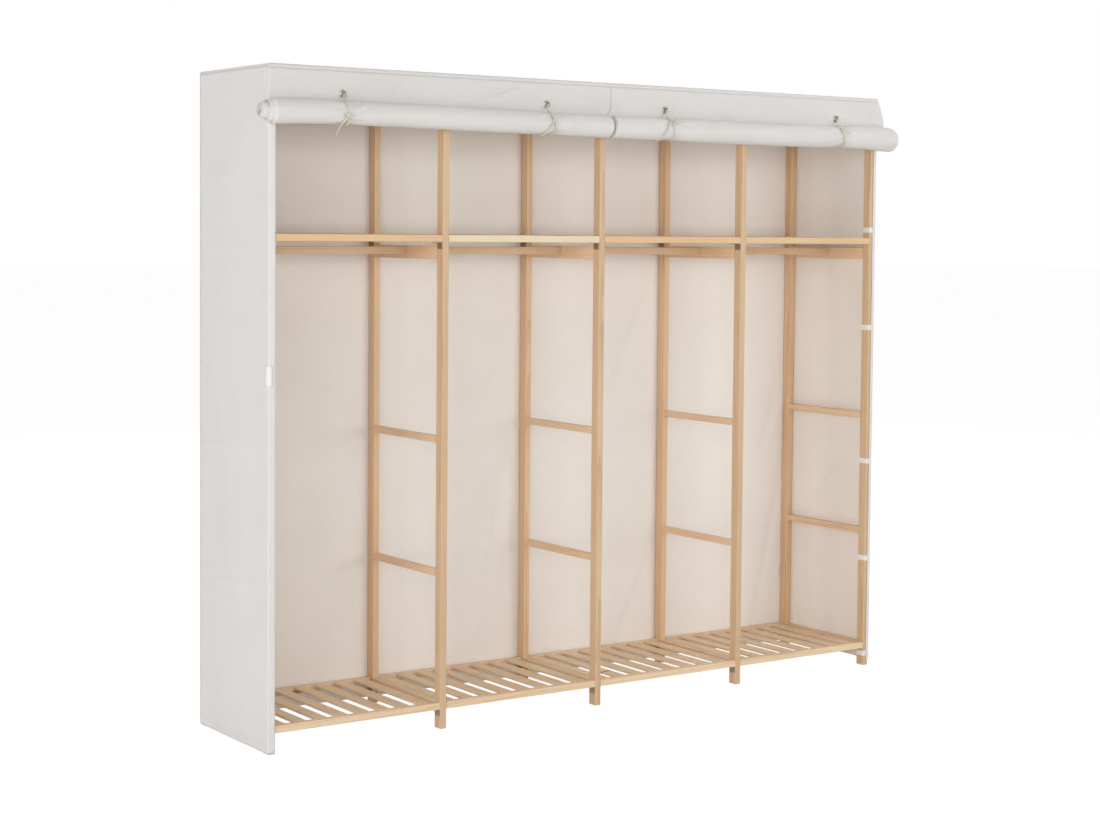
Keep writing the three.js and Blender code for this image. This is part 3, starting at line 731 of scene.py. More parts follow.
for y in (-LEAF_WIDTH / 4, LEAF_WIDTH / 4):
    for spot in (
        Matrix.Translation((LEAF_THICKNESS, y, -reach)) @ Matrix.Rotation(math.pi / 2, 4, "Y"),
        Matrix.Translation((reach, y, -LEAF_THICKNESS)) @ Matrix.Rotation(math.pi, 4, "X"),
    ):
        domed_head(bm, spot, SCREW_RADIUS, SCREW_FLATNESS, SCREW_SIDES)
bracket_mesh = bpy.data.meshes.new("corner_bracket")
bm.to_mesh(bracket_mesh)
bm.free()
bracket_mesh.materials.append(bracket_steel)
number = 0
for level in ("base", "top"):
    for bay in range(1, 4):
        low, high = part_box(f"{level}_shelf_{bay}")
        for y in (low.y + LEAF_INSET, high.y - LEAF_INSET):
            number += 1
            bracket = bpy.data.objects.new(f"corner_bracket_{number}", bracket_mesh)
            scene.collection.objects.link(bracket)
            spot = Matrix.Translation((high.x, y, high.z - RAIL_SIZE))
            bracket.matrix_world = spot @ Matrix.Rotation(math.pi, 4, "Z")
            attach(bracket, "wardrobe")

# Back of the cover. One piece of plain-woven off-white polyester cloth, sewn to the top and the sides, that
# hangs in soft upright folds behind the rear posts and ends in a stitched hem above the floor. It keeps the
# creases of its packing. A blank satin label is sewn to its inside.
COVER_REAR = 0.23315
FOLD_DEPTH = 0.005
FOLD_RATES = (7.1, 12.7)
SECOND_FOLD_SHARE = 0.7
FRAME_PITCH = 0.49435
POST_REAR = 0.22585
BACK_HEM = 0.012
BACK_RIPPLE = 0.0015
RIPPLE_START = 0.2
BACK_EDGE_ROWS = (0.0, 0.0035, 0.0075, 0.01)
POST_CLEARANCE = 0.0008
HEM_WIDTH = 0.020
HEM_GAP = 0.0005
HEM_BULGE = 0.0006
HEM_SEAM_INSET = 0.002
BACK_HEM_ROWS = (0.0003, 0.006, 0.013, HEM_WIDTH)
EDGE_SEAM_INSET = 0.007
SEAM_STEP = 0.02
CLOTH_STEP = 0.009
BACK_CREASES = (
    (-0.677, 1.221, -0.677, 0.218, 0.045, 0.006),
    (-0.600, 0.695, -0.523, 0.744, 0.012, 0.003),
    (-0.612, 0.351, -0.522, 0.393, 0.012, 0.003),
    (-0.300, 1.300, -0.330, 0.300, 0.040, 0.003),
    (-0.029, 1.031, -0.176, 0.704, 0.016, 0.0045),
    (-0.045, 0.697, -0.134, 0.130, 0.016, 0.0045),
    (-0.015, 0.568, -0.098, 0.286, 0.012, -0.003),
    (-0.026, 0.696, -0.017, 0.069, 0.011, 0.007),
    (0.240, 1.250, 0.180, 0.500, 0.040, 0.003),
    (0.476, 0.368, 0.335, 0.046, 0.016, 0.0045),
    (0.465, 1.155, 0.325, 0.844, 0.016, 0.0045),
    (0.700, 1.300, 0.640, 0.200, 0.045, 0.003),
    (0.981, 0.873, 0.863, 0.512, 0.016, 0.0045),
    (0.997, 0.645, 0.871, 0.057, 0.014, 0.0045),
)
LABEL_BOX = (0.952, 0.976, 0.212, 0.248)
LABEL_THICKNESS = 0.0003
LABEL_GAP = 0.0004
LABEL_CURL = 0.03
SMALL_STEP = 0.004
CRUMPLE_DEPTH = 0.004
CRUMPLE_PUSH = 0.16
THREAD_WIDTH = 0.0009
THREAD_DEPTH = 0.0002
OVER_SHARE = 0.35
THREAD_SHARE = 0.18
SLUB_SHARE = 0.55
CLOUD_SHARE = 0.9
CLOUD_START = -0.6
STITCH_PITCH = 0.0042
STITCH_LENGTH = 0.0029
STITCH_THICKNESS = 0.0007
STITCH_RISE_SHARE = 0.2

cloth_weave, given, result = new_group(
    "cloth_weave",
    [
        ("Vector", "NodeSocketVector", None),
        ("Light", "NodeSocketColor", shade(236, 232, 227)),
        ("Dark", "NodeSocketColor", shade(222, 216, 209)),
        ("Thread", "NodeSocketFloat", THREAD_WIDTH),
    ],
    SURFACE_OUTPUTS,
)
tree = cloth_weave
axes = lay_node(tree, "ShaderNodeSeparateXYZ", {0: given["Vector"]}).outputs
rate = lay_math(tree, "DIVIDE", math.pi, given["Thread"])
warp = lay_math(tree, "SINE", lay_math(tree, "MULTIPLY", axes[0], rate))
weft = lay_math(tree, "SINE", lay_math(tree, "MULTIPLY", axes[1], rate))
over = lay_math(tree, "MULTIPLY", warp, weft)
warp_top = lay_math(tree, "MULTIPLY_ADD", over, OVER_SHARE, lay_math(tree, "ABSOLUTE", warp))
weft_top = lay_math(tree, "MULTIPLY_ADD", over, -OVER_SHARE, lay_math(tree, "ABSOLUTE", weft))
threads = lay_math(tree, "MAXIMUM", warp_top, weft_top)
slubs = []
for stretch in ((1100.0, 18.0, 1.0), (18.0, 1100.0, 1.0)):
    drawn = lay_node(tree, "ShaderNodeMapping", {"Vector": given["Vector"], "Scale": stretch}).outputs[0]
    knobbly = lay_node(tree, "ShaderNodeTexNoise", {"Vector": drawn, "Scale": 1.0, "Detail": 1.0})
    slubs.append(knobbly.outputs["Fac"])
slub = lay_math(tree, "ADD", *slubs)
inputs = {"Vector": given["Vector"], "Scale": 5.0, "Detail": 5.0, "Roughness": 0.6}
cloud = lay_node(tree, "ShaderNodeTexNoise", inputs)
cloudy = lay_math(tree, "MULTIPLY_ADD", cloud.outputs["Fac"], CLOUD_SHARE, CLOUD_START)
amount = lay_math(tree, "MULTIPLY_ADD", slub, SLUB_SHARE, cloudy)
amount = lay_math(tree, "MULTIPLY_ADD", threads, -THREAD_SHARE, amount, clamp=True)
feed(result, {
    "Color": mixed(tree, amount, given["Light"], given["Dark"]),
    "Roughness": lay_math(tree, "MULTIPLY_ADD", slub, 0.08, 0.78),
    "Height": lay_math(tree, "MULTIPLY_ADD", slub, 0.25, threads),
})

crumple, given, result = new_group(
    "crumple",
    [("Vector", "NodeSocketVector", None), ("Size", "NodeSocketFloat", 6.0)],
    [("Height", "NodeSocketFloat")],
)
tree = crumple
swirl = lay_node(tree, "ShaderNodeTexNoise", {"Vector": given["Vector"], "Scale": 3.0, "Detail": 1.0})
inputs = {0: swirl.outputs["Color"], "Scale": CRUMPLE_PUSH}
push = lay_node(tree, "ShaderNodeVectorMath", inputs, operation="SCALE")
moved = lay_node(tree, "ShaderNodeVectorMath", {0: given["Vector"], 1: push.outputs[0]}, operation="ADD")
inputs = {"Vector": moved.outputs[0], "Scale": given["Size"], "Detail": 2.0, "Roughness": 0.45}
soft = lay_node(tree, "ShaderNodeTexNoise", inputs).outputs["Fac"]
inputs = {"Vector": moved.outputs[0], "Scale": given["Size"]}
ridges = lay_node(tree, "ShaderNodeTexVoronoi", inputs, feature="SMOOTH_F1").outputs["Distance"]
feed(result, {"Height": lay_math(tree, "MULTIPLY_ADD", ridges, 0.35, soft)})


def cover_cloth(name, light, dark, coordinates="UV"):
    """The cover's plain-woven polyester, with threads, slubs and soft creases."""
    material, tree, surface = plain_material(name, light, 0.82)
    place = lay_node(tree, "ShaderNodeTexCoord").outputs[coordinates]
    if coordinates == "Object":
        axes = lay_node(tree, "ShaderNodeSeparateXYZ", {0: place}).outputs
        place = lay_node(tree, "ShaderNodeCombineXYZ", {0: axes[0], 1: axes[2], 2: axes[1]}).outputs[0]
    inputs = {"Vector": place, "Light": light, "Dark": dark}
    weave = lay_node(tree, "ShaderNodeGroup", inputs, node_tree=cloth_weave).outputs
    creases = lay_node(tree, "ShaderNodeGroup", {"Vector": place}, node_tree=crumple).outputs
    soft = raised(tree, creases["Height"], 0.5, CRUMPLE_DEPTH)
    feed(surface, {
        "Base Color": weave["Color"],
        "Roughness": weave["Roughness"],
        "Normal": raised(tree, weave["Height"], 0.4, THREAD_DEPTH, soft),
        "Sheen Weight": 0.06,
        "Sheen Roughness": 0.6,
    })
    return material


def fibrous(name, colour, roughness, kind, inputs, tints, strength, depth, **settings):
    """A material of fibres. Their pattern over the piece tints it between two shades and raises it."""
    material, tree, surface = plain_material(name, shade(*colour), roughness)
    place = lay_node(tree, "ShaderNodeTexCoord").outputs["Object"]
    fibres = lay_node(tree, kind, {"Vector": place, **inputs}, **settings).outputs["Fac"]
    tint = mixed(tree, fibres, *(shade(*tone) for tone in tints))
    feed(surface, {"Base Color": tint, "Normal": raised(tree, fibres, strength, depth)})
    return material


# The cloth is the same through, but its inside is a paler, warmer copy: painted light for the light that
# shines through the cloth and bounces off the pine inside.
outside_cloth = cover_cloth("outside_cloth", shade(231, 228, 225), shade(221, 217, 213))
inside_cloth_painted_light = cover_cloth("inside_cloth_painted_light", shade(245, 239, 233), shade(236, 229, 221))


def even_steps(low, high, step, extra=()):
    """Places from low to high, about a step apart, with some exact ones among them."""
    count = max(1, round((high - low) / step))
    places = {round(low + (high - low) * i / count, 6) for i in range(count + 1)}
    clear = {p for p in places if all(abs(p - e) > 0.3 * step for e in extra)}
    return sorted(clear | {round(p, 6) for p in (low, high, *extra)})


def cloth_sheet(
    name, across, down, place, outside, inside, holes=(), thickness=CLOTH_THICKNESS, grow=-1.0, patches=()
):
    """A sheet of cloth with both its faces. place gives a point of its outside from two lengths, which are
    also its UV. The outside is on the left of a walk down the sheet, and the thickness grows away from it.
    Small patches that close a corner are sewn into the same sheet."""
    bm = bmesh.new()
    uv = bm.loops.layers.uv.new("UVMap")
    grid = [[bm.verts.new(place(u, v)) for u in across] for v in down]
    for j in range(len(down) - 1):
        for i in range(len(across) - 1):
            u, v = (across[i] + across[i + 1]) / 2, (down[j] + down[j + 1]) / 2
            if any(abs(u - hu) < reach and abs(v - hv) < reach for hu, hv, reach in holes):
                continue
            face = bm.faces.new((grid[j][i], grid[j + 1][i], grid[j + 1][i + 1], grid[j][i + 1]))
            spots = ((i, j), (i, j + 1), (i + 1, j + 1), (i + 1, j))
            for loop, (a, b) in zip(face.loops, spots):
                loop[uv].uv = (across[a], down[b])
    for patch in patches:
        spots = [[bm.verts.new(point) for point in row] for row in patch]
        for near, far in zip(spots, spots[1:]):
            for i in range(len(near) - 1):
                face = bm.faces.new((near[i], far[i], far[i + 1], near[i + 1]))
                for loop in face.loops:
                    loop[uv].uv = (loop.vert.co.x, loop.vert.co.y)
    sheet = put_in_scene(name, bm, outside, inside)
    lining = sheet.modifiers.new("thickness", "SOLIDIFY")
    lining.thickness = thickness
    lining.offset = grow
    lining.material_offset = 1
    shape = sheet.evaluated_get(bpy.context.evaluated_depsgraph_get())
    mesh = bpy.data.meshes.new_from_object(shape)
    sheet.modifiers.clear()
    sheet.data = mesh
    mesh.name = name
    return sheet


stitch_thread = fibrous(
    "stitch_thread", (238, 235, 230), 0.7, "ShaderNodeTexNoise", {"Scale": 2600.0, "Detail": 1.0},
    tints=((214, 209, 202), (244, 242, 238)), strength=0.4, depth=0.0002,
)


def sew(name, seams):
    """Rows of lock stitches, as one piece that stays with the cover. Each seam is a line on the cloth and the
    way the cloth faces there."""
    bm = bmesh.new()
    for line, out in seams:
        line = [Vector(p) for p in line]
        out = Vector(out)
        run = 0.0
        for a, b in zip(line, line[1:]):
            span = (b - a).length
            ahead = (b - a).normalized()
            side = out.cross(ahead).normalized()
            while run < span:
                middle = a + ahead * run + out * STITCH_THICKNESS * STITCH_RISE_SHARE
                tips = [bm.verts.new(middle + ahead * STITCH_LENGTH / 2 * k) for k in (-1, 1)]
                ring = [
                    bm.verts.new(middle + (side * math.cos(t) + out * math.sin(t)) * STITCH_THICKNESS / 2)
                    for t in (0, math.pi / 2, math.pi, 3 * math.pi / 2)
                ]
                for k in range(4):
                    bm.faces.new((tips[0], ring[(k + 1) % 4], ring[k]))
                    bm.faces.new((tips[1], ring[k], ring[(k + 1) % 4]))
                run += STITCH_PITCH
            run -= span
    stitches = put_in_scene(name, bm, stitch_thread)
    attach(stitches, "wardrobe")
    return stitches


def fold_share(x, z):
    """Soft upright folds, from 0 to 1, that fade at the sides."""
    bays = x / FRAME_PITCH
    lean = 0.35 * z / COVER_TOP
    first, second = FOLD_RATES
    wave = math.sin(first * bays + lean) + SECOND_FOLD_SHARE * math.sin(second * bays - lean)
    fade = min(1.0, 12 * (1 - abs(x) / COVER_SIDE))
    return fade * (0.5 + wave / 2 / (1 + SECOND_FOLD_SHARE))


def back_point(x, z):
    """A point of the back. It hangs clear of the rear posts, and its upper edge is drawn in to the top."""
    inset = edge_inset(z)
    place = x * (1 - inset / COVER_SIDE)
    fold = FOLD_DEPTH * (1 - fold_share(place, z))
    ripple = max(0.0, noise.noise(Vector((6.5 * x, 1.1 * z, 3.0))))
    loose = BACK_RIPPLE * ripple * min(1.0, (COVER_TOP - z) / RIPPLE_START)
    crease = pressed(BACK_CREASES, x, z) * min(1.0, 25 * (COVER_SIDE - abs(x)))
    hem = HEM_BULGE if z < BACK_HEM + HEM_WIDTH else 0.0
    out = COVER_REAR - fold + loose + crease + hem
    return (place, max(out, POST_REAR + CLOTH_THICKNESS + POST_CLEARANCE) - inset, z)


def place_on_back(u, v):
    """The back is laid out from its upper right corner."""
    return back_point(-u, COVER_TOP - v)


height = COVER_TOP - BACK_HEM
smooth_height = height - HEM_WIDTH - HEM_GAP - BACK_EDGE_ROWS[-1]
down = [*BACK_EDGE_ROWS, *(BACK_EDGE_ROWS[-1] + d for d in even_steps(0, smooth_height, CLOTH_STEP)[1:])]
down += [height - HEM_WIDTH + d for d in BACK_HEM_ROWS]
across = even_steps(-COVER_SIDE, COVER_SIDE, CLOTH_STEP)
cover_back = cloth_sheet("back_cloth", across, down, place_on_back, outside_cloth, inside_cloth_painted_light)
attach(cover_back, "wardrobe")
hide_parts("cover_back")
seams = [([back_point(x, BACK_HEM + HEM_WIDTH - HEM_SEAM_INSET) for x in across], (0, 1, 0))]
seam_heights = even_steps(BACK_HEM, COVER_TOP - 2 * EDGE_RADIUS, SEAM_STEP)
for x in (-COVER_SIDE + EDGE_SEAM_INSET, COVER_SIDE - EDGE_SEAM_INSET):
    seams.append(([back_point(x, z) for z in seam_heights], (0, 1, 0)))
back_stitches = sew("back_stitches", seams)

label_satin = fibrous(
    "label_satin", (246, 246, 246), 0.42, "ShaderNodeTexWave", {"Scale": 900.0},
    tints=((238, 238, 238), (250, 250, 250)), strength=0.3, depth=0.0002, bands_direction="Z",
)
left, right, low, high = LABEL_BOX


def label_point(u, v):
    """A point of the label. It is sewn to the back along its top, and its foot curls away a little."""
    curl = LABEL_CURL * v**2 / (high - low)
    return (u, back_point(u, high - v)[1] - CLOTH_THICKNESS - LABEL_GAP - curl, high - v)


label = cloth_sheet(
    "inside_label",
    even_steps(left, right, SMALL_STEP),
    even_steps(0.0, high - low, SMALL_STEP),
    label_point,
    label_satin,
    label_satin,
    thickness=LABEL_THICKNESS,
)
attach(label, "wardrobe")

# Top of the cover. The same cloth, stretched over the two top rails and turned down at its ends, where it
# is sewn to the sides. It dips a little between the frames, and its corners are closed by a fold.
TOP_SAG = 0.005
TOP_RIPPLE = 0.0012
SEAM_GAP = 0.0003
TOP_FRONT = COVER_FRONT + EDGE_RADIUS + SEAM_GAP
TOP_REAR = COVER_REAR - FOLD_DEPTH - EDGE_RADIUS - SEAM_GAP
END_ARC = EDGE_RADIUS * math.pi / 2
ARC_STEPS = 4
CORNER_STEPS = 6
BAY_COUNT = 4


def top_point(u, v):
    """A point of the top, from its middle out and from its rear edge forward."""
    reach = COVER_SIDE - EDGE_RADIUS
    flat = max(-reach, min(reach, u))
    turn = max(0.0, abs(u) - reach) / EDGE_RADIUS
    share = v / (TOP_REAR - TOP_FRONT)
    past = max(0.0, min(1.0, (share - 0.08) / 0.84))
    bay = math.sin((flat / reach + 1) / 2 * BAY_COUNT * math.pi)
    sag = 0.0
    if turn == 0:
        slack = math.sin(past * math.pi)
        sag = TOP_SAG * bay**2 * slack + TOP_RIPPLE * noise.noise(Vector((7 * u, 9 * v, 1.0))) * slack
    x = flat + math.copysign(EDGE_RADIUS * math.sin(turn), u)
    return (x, TOP_REAR - v, COVER_TOP - EDGE_RADIUS * (1 - math.cos(turn)) - sag)


def corner_patch(sign, front):
    """The fold at a corner of the top, from the end of the top cloth out to the front or the back."""
    rows = []
    for k in range(CORNER_STEPS + 1):
        turn = math.pi / 2 * k / CORNER_STEPS
        x = COVER_SIDE - EDGE_RADIUS * (1 - math.sin(turn))
        z = COVER_TOP - EDGE_RADIUS * (1 - math.cos(turn))
        start = TOP_FRONT if front else TOP_REAR
        end = valance_front(sign * COVER_SIDE, z) if front else back_point(sign * COVER_SIDE, z)[1]
        rows.append([(sign * x, start + (end - start) * share, z) for share in (0, 0.25, 0.5, 0.75, 1)])
    return rows if (sign > 0) != front else rows[::-1]


end = COVER_SIDE - EDGE_RADIUS
arc = [end + END_ARC * k / ARC_STEPS for k in range(1, ARC_STEPS + 1)]
across = [-a for a in arc[::-1]] + even_steps(-end, end, CLOTH_STEP) + arc
down = even_steps(0.0, TOP_REAR - TOP_FRONT, CLOTH_STEP)
corners = [corner_patch(sign, front) for sign in (-1, 1) for front in (True, False)]
cover_top = cloth_sheet("top_cloth", across, down, top_point, outside_cloth, inside_cloth_painted_light, patches=corners)
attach(cover_top, "wardrobe")
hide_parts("cover_top")

# Sides of the cover. Each is one length of the cloth that hangs from the top, bellies out a little between
# the posts, and turns round the front post as a narrow hemmed strip. Loops of white cotton tape hold the
# strips to the front posts, and the left one carries a patch of hook-and-loop tape.
SIDE_CORNER = 0.0025
SIDE_BOW = 0.003
STRIP_WIDTHS = {"left": 0.019, "right": 0.011}
SIDE_HEMS = {"left": 0.003, "right": 0.018}
SIDE_STEP = 0.007
SIDE_RIPPLE = 0.001
SIDE_HEM_ROWS = (0.0003, 0.007, 0.014, HEM_WIDTH)
SIDE_HEM_BULGE = 0.0005
STRIP_HEM_WIDTH = 0.006
STRIP_HEM_BULGE = 0.0004
STRIP_SEAM_INSET = 0.005
REAR_SEAM_INSET = 0.006
HEM_SEAM_START = 0.03
FRONT_CREASE_ROWS = (0.012, 0.014, 0.016, 0.018, 0.020)
CORNER_LEAN = 0.0023
STRIP_FRONT = COVER_FRONT + CORNER_LEAN
SIDE_REAR = COVER_REAR - FOLD_DEPTH - CORNER_LEAN
SIDE_TOP = COVER_TOP - EDGE_RADIUS - SEAM_GAP
SIDE_CREASES = {
    "left": (
        (-0.146, 1.692, -0.146, 1.638, 0.0028, -0.0050),
        (0.209, 1.251, -0.097, 1.245, 0.006, 0.0024),
        (0.210, 0.742, -0.098, 0.753, 0.006, 0.0024),
        (0.210, 0.389, -0.098, 0.417, 0.006, 0.0024),
        (0.103, 1.433, -0.007, 1.422, 0.020, 0.0050),
        (0.060, 1.640, 0.020, 0.060, 0.070, 0.0030),
        (0.150, 0.980, 0.030, 0.620, 0.018, 0.0018),
    ),
    "right": (
        (0.195, 1.248, -0.100, 1.243, 0.006, 0.0014),
        (0.195, 0.745, -0.100, 0.750, 0.006, 0.0014),
        (0.195, 0.395, -0.100, 0.402, 0.006, 0.0014),
        (0.150, 0.430, -0.020, 0.640, 0.014, 0.0030),
        (0.050, 1.500, 0.080, 0.900, 0.060, 0.0025),
    ),
}
TAB_HEIGHTS = (1.310, 1.019, 0.618, 0.325, 0.036)
TAB_WIDTH = 0.015
TAB_THICKNESS = 0.0006
TAB_GAP = 0.0002
TAB_ROUND = 0.0006
TAB_LIFT = 0.0004
TAB_INSETS = (0.0016, 0.004)
POST_SIDE = 0.9797
POST_FRONT = -0.16225
POST_BACK = -0.13225
PATCH_BOX = (0.911, 0.963)
PATCH_WRAP = (
    (-1.0023, -0.1500), (-1.0023, -0.1560), (-1.0023, -0.1620), (-1.0012, -0.1650), (-0.9985, -0.1663),
    (-0.9940, -0.1663), (-0.9890, -0.1663),
)
PATCH_THICKNESS = 0.0012


def side_point(side, u, v):
    """u runs from the open edge of the strip round the corner and back to the rear, v from the top down."""
    sign = -1 if side == "left" else 1
    z = SIDE_TOP - v
    flat = STRIP_WIDTHS[side] - SIDE_CORNER
    arc = SIDE_CORNER * math.pi / 2
    hem = SIDE_HEM_BULGE if z < SIDE_HEMS[side] + HEM_WIDTH else 0.0
    if u <= flat:
        edge = STRIP_HEM_BULGE if u < STRIP_HEM_WIDTH else 0.0
        return (sign * (COVER_SIDE - STRIP_WIDTHS[side] + u), STRIP_FRONT - hem - edge, z)
    if u <= flat + arc:
        turn = (u - flat) / SIDE_CORNER
        x = COVER_SIDE - SIDE_CORNER * (1 - math.sin(turn)) + hem * math.sin(turn)
        return (sign * x, STRIP_FRONT + SIDE_CORNER * (1 - math.cos(turn)) - hem * math.cos(turn), z)
    y = STRIP_FRONT + SIDE_CORNER + u - flat - arc
    share = (y - STRIP_FRONT - SIDE_CORNER) / (SIDE_REAR - STRIP_FRONT - SIDE_CORNER)
    bow = math.sin(max(0.0, min(1.0, (share - 0.1) / 0.8)) * math.pi)
    ripple = SIDE_RIPPLE * noise.noise(Vector((3 * sign, 9 * y, 2.2 * z))) * bow
    crease = pressed(SIDE_CREASES[side], y, z) * min(1.0, 12 * share, 12 * (1 - share))
    belly = SIDE_BOW * bow * math.sin(z / COVER_TOP * math.pi)
    return (sign * (COVER_SIDE + belly + ripple + crease + hem), y, z)


def side_sheet(side):
    """One side of the cover, and how long it is along its upper edge."""
    flat = STRIP_WIDTHS[side] - SIDE_CORNER
    arc = SIDE_CORNER * math.pi / 2
    depth = SIDE_REAR - STRIP_FRONT - SIDE_CORNER
    across = even_steps(0.0, flat, CLOTH_STEP / 3)
    across += [flat + arc * k / ARC_STEPS for k in range(1, ARC_STEPS + 1)]
    across += [flat + arc + d for d in even_steps(0.0, depth, SIDE_STEP, FRONT_CREASE_ROWS)[1:]]
    height = SIDE_TOP - SIDE_HEMS[side]
    down = even_steps(0.0, height - HEM_WIDTH - HEM_GAP, SIDE_STEP)
    down += [height - HEM_WIDTH + d for d in SIDE_HEM_ROWS]
    whole = across[-1]
    if side == "left":
        across = [whole - u for u in across[::-1]]

    def place(u, v):
        return side_point(side, whole - u if side == "left" else u, v)

    return cloth_sheet(f"{side}_side_cloth", across, down, place, outside_cloth, inside_cloth_painted_light), whole


for side, sign in (("left", -1), ("right", 1)):
    panel, whole = side_sheet(side)
    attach(panel, "wardrobe")
    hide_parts(f"cover_{side}_side")
    height = SIDE_TOP - SIDE_HEMS[side]
    lengths = even_steps(HEM_SEAM_INSET, height - HEM_SEAM_INSET, SEAM_STEP)
    hem_places = even_steps(HEM_SEAM_START, whole, SEAM_STEP / 2)
    seams = [
        ([side_point(side, STRIP_SEAM_INSET, v) for v in lengths], (0, -1, 0)),
        ([side_point(side, whole - REAR_SEAM_INSET, v) for v in lengths], (sign, 0, 0)),
        ([side_point(side, u, height - HEM_WIDTH + HEM_SEAM_INSET) for u in hem_places], (sign, 0, 0)),
    ]
    stitches = sew(f"{side}_side_stitches", seams)


cotton_tape = fibrous(
    "cotton_tape", (246, 245, 242), 0.8, "ShaderNodeTexWave", {"Scale": 420.0, "Distortion": 0.6},
    tints=((232, 230, 226), (250, 249, 247)), strength=0.5, depth=0.0003, bands_direction="Z",
)
clear = TAB_THICKNESS + TAB_GAP
path = [
    (COVER_SIDE - TAB_INSETS[0], POST_BACK + clear + TAB_LIFT),
    (POST_SIDE + TAB_ROUND, POST_BACK + clear),
    (POST_SIDE - clear, POST_BACK - TAB_ROUND),
    (POST_SIDE - clear, POST_FRONT + TAB_ROUND),
    (POST_SIDE + TAB_ROUND, POST_FRONT - clear),
    (COVER_SIDE - TAB_INSETS[1], POST_FRONT - clear),
]
for side, sign in (("left", -1), ("right", 1)):
    walk = [(sign * x, y) for x, y in (path if sign > 0 else path[::-1])]
    for number, z in enumerate(TAB_HEIGHTS, 1):
        tab = cloth_sheet(
            f"{side}_post_tab_{number}",
            list(range(len(walk))),
            even_steps(0.0, TAB_WIDTH, SMALL_STEP),
            lambda u, v: (*walk[u], z + TAB_WIDTH / 2 - v),
            cotton_tape,
            cotton_tape,
            thickness=TAB_THICKNESS,
        )
        tab.data.shade_flat()
        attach(tab, "wardrobe")

loop_tape = fibrous(
    "loop_tape", (246, 246, 244), 0.95, "ShaderNodeTexNoise", {"Scale": 1600.0, "Detail": 2.0},
    tints=((236, 235, 233), (252, 252, 251)), strength=0.9, depth=0.0008,
)
low, high = PATCH_BOX
patch = cloth_sheet(
    "loop_patch",
    list(range(len(PATCH_WRAP))),
    even_steps(0.0, high - low, SMALL_STEP),
    lambda u, v: (*PATCH_WRAP[u], high - v),
    loop_tape,
    cotton_tape,
    thickness=PATCH_THICKNESS,
)
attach(patch, "wardrobe")

# Valance. The two front curtains are sewn to the top along its rounded edge. Their upper part stays flat
# above the rolls, and below the slit each curtain hangs by itself.
BAND_HEIGHT = 0.0102
SLIT_PLACE = 0.021
SLIT_WIDTH = 0.0007
SLIT_TOP = 1.673
EYELET_HOLE = 0.0056
DROP_START = 1.6175
BAND_ROWS = (0.0, 0.002, 0.0035, 0.0055, 0.0075, 0.0088, BAND_HEIGHT)
BAND_SEAM_INSET = 0.001
BAND_STEP = 0.006
CURTAIN_STEP = 0.005
TUCKED_STEP = 0.0011
BAND_GAP = 0.0001
SLIT_SEAM_INSET = 0.005
SLIT_SEAM_HEIGHTS = (SLIT_TOP, 1.66, 1.65, 1.64, 1.633)
SLIT_DRAW = 0.022
SLIT_DRAW_REACH = 0.08
SLIT_DRAW_START = DROP_START + 0.012
SLIT_DRAW_RUN = 0.03
EDGE_MARKS = (0.982, 0.986, 0.9885, 0.991, 0.993, 0.995, 0.9975)

# The curtains are a darker copy of the cover cloth, painted shade that evens out the stronger lamp light on
# the front, and their inside is a paler, warmer copy, painted light as on the rest of the inside.
curtain_cloth = cover_cloth("curtain_cloth", shade(225, 222, 219), shade(215, 211, 207), "Object")
curtain_inside_painted_light = cover_cloth("curtain_inside_painted_light", shade(238, 233, 226), shade(228, 220, 211), "Object")


def valance_point(x, z):
    """A point of the valance. Behind the roll, the curtains' edges at the slit are drawn to the left."""
    behind = max(0.0, min(1.0, (SLIT_DRAW_START - z) / SLIT_DRAW_RUN))
    drawn = SLIT_DRAW * behind * math.exp(-(((x - SLIT_PLACE) / SLIT_DRAW_REACH) ** 2))
    return (x * (1 - edge_inset(z) / COVER_SIDE) - drawn, valance_front(x, z), z)


def place_on_valance(u, v):
    """The valance is laid out from its upper edge down."""
    return valance_point(u, COVER_TOP - v)


marks = [sign * mark for mark in EDGE_MARKS for sign in (-1, 1)]
across = even_steps(-COVER_SIDE, COVER_SIDE, BAND_STEP, marks)
band = cloth_sheet("valance_band", across, BAND_ROWS, place_on_valance, curtain_cloth, curtain_inside_painted_light)
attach(band, "wardrobe")
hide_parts("front_valance")
seams = [([valance_point(x, COVER_TOP - BAND_HEIGHT + BAND_SEAM_INSET) for x in across[2:-2]], (0, -1, 0))]
for x in (SLIT_PLACE - SLIT_SEAM_INSET, SLIT_PLACE + SLIT_SEAM_INSET):
    seams.append(([valance_point(x, z) for z in SLIT_SEAM_HEIGHTS], (0, -1, 0)))
band_stitches = sew("valance_stitches", seams)

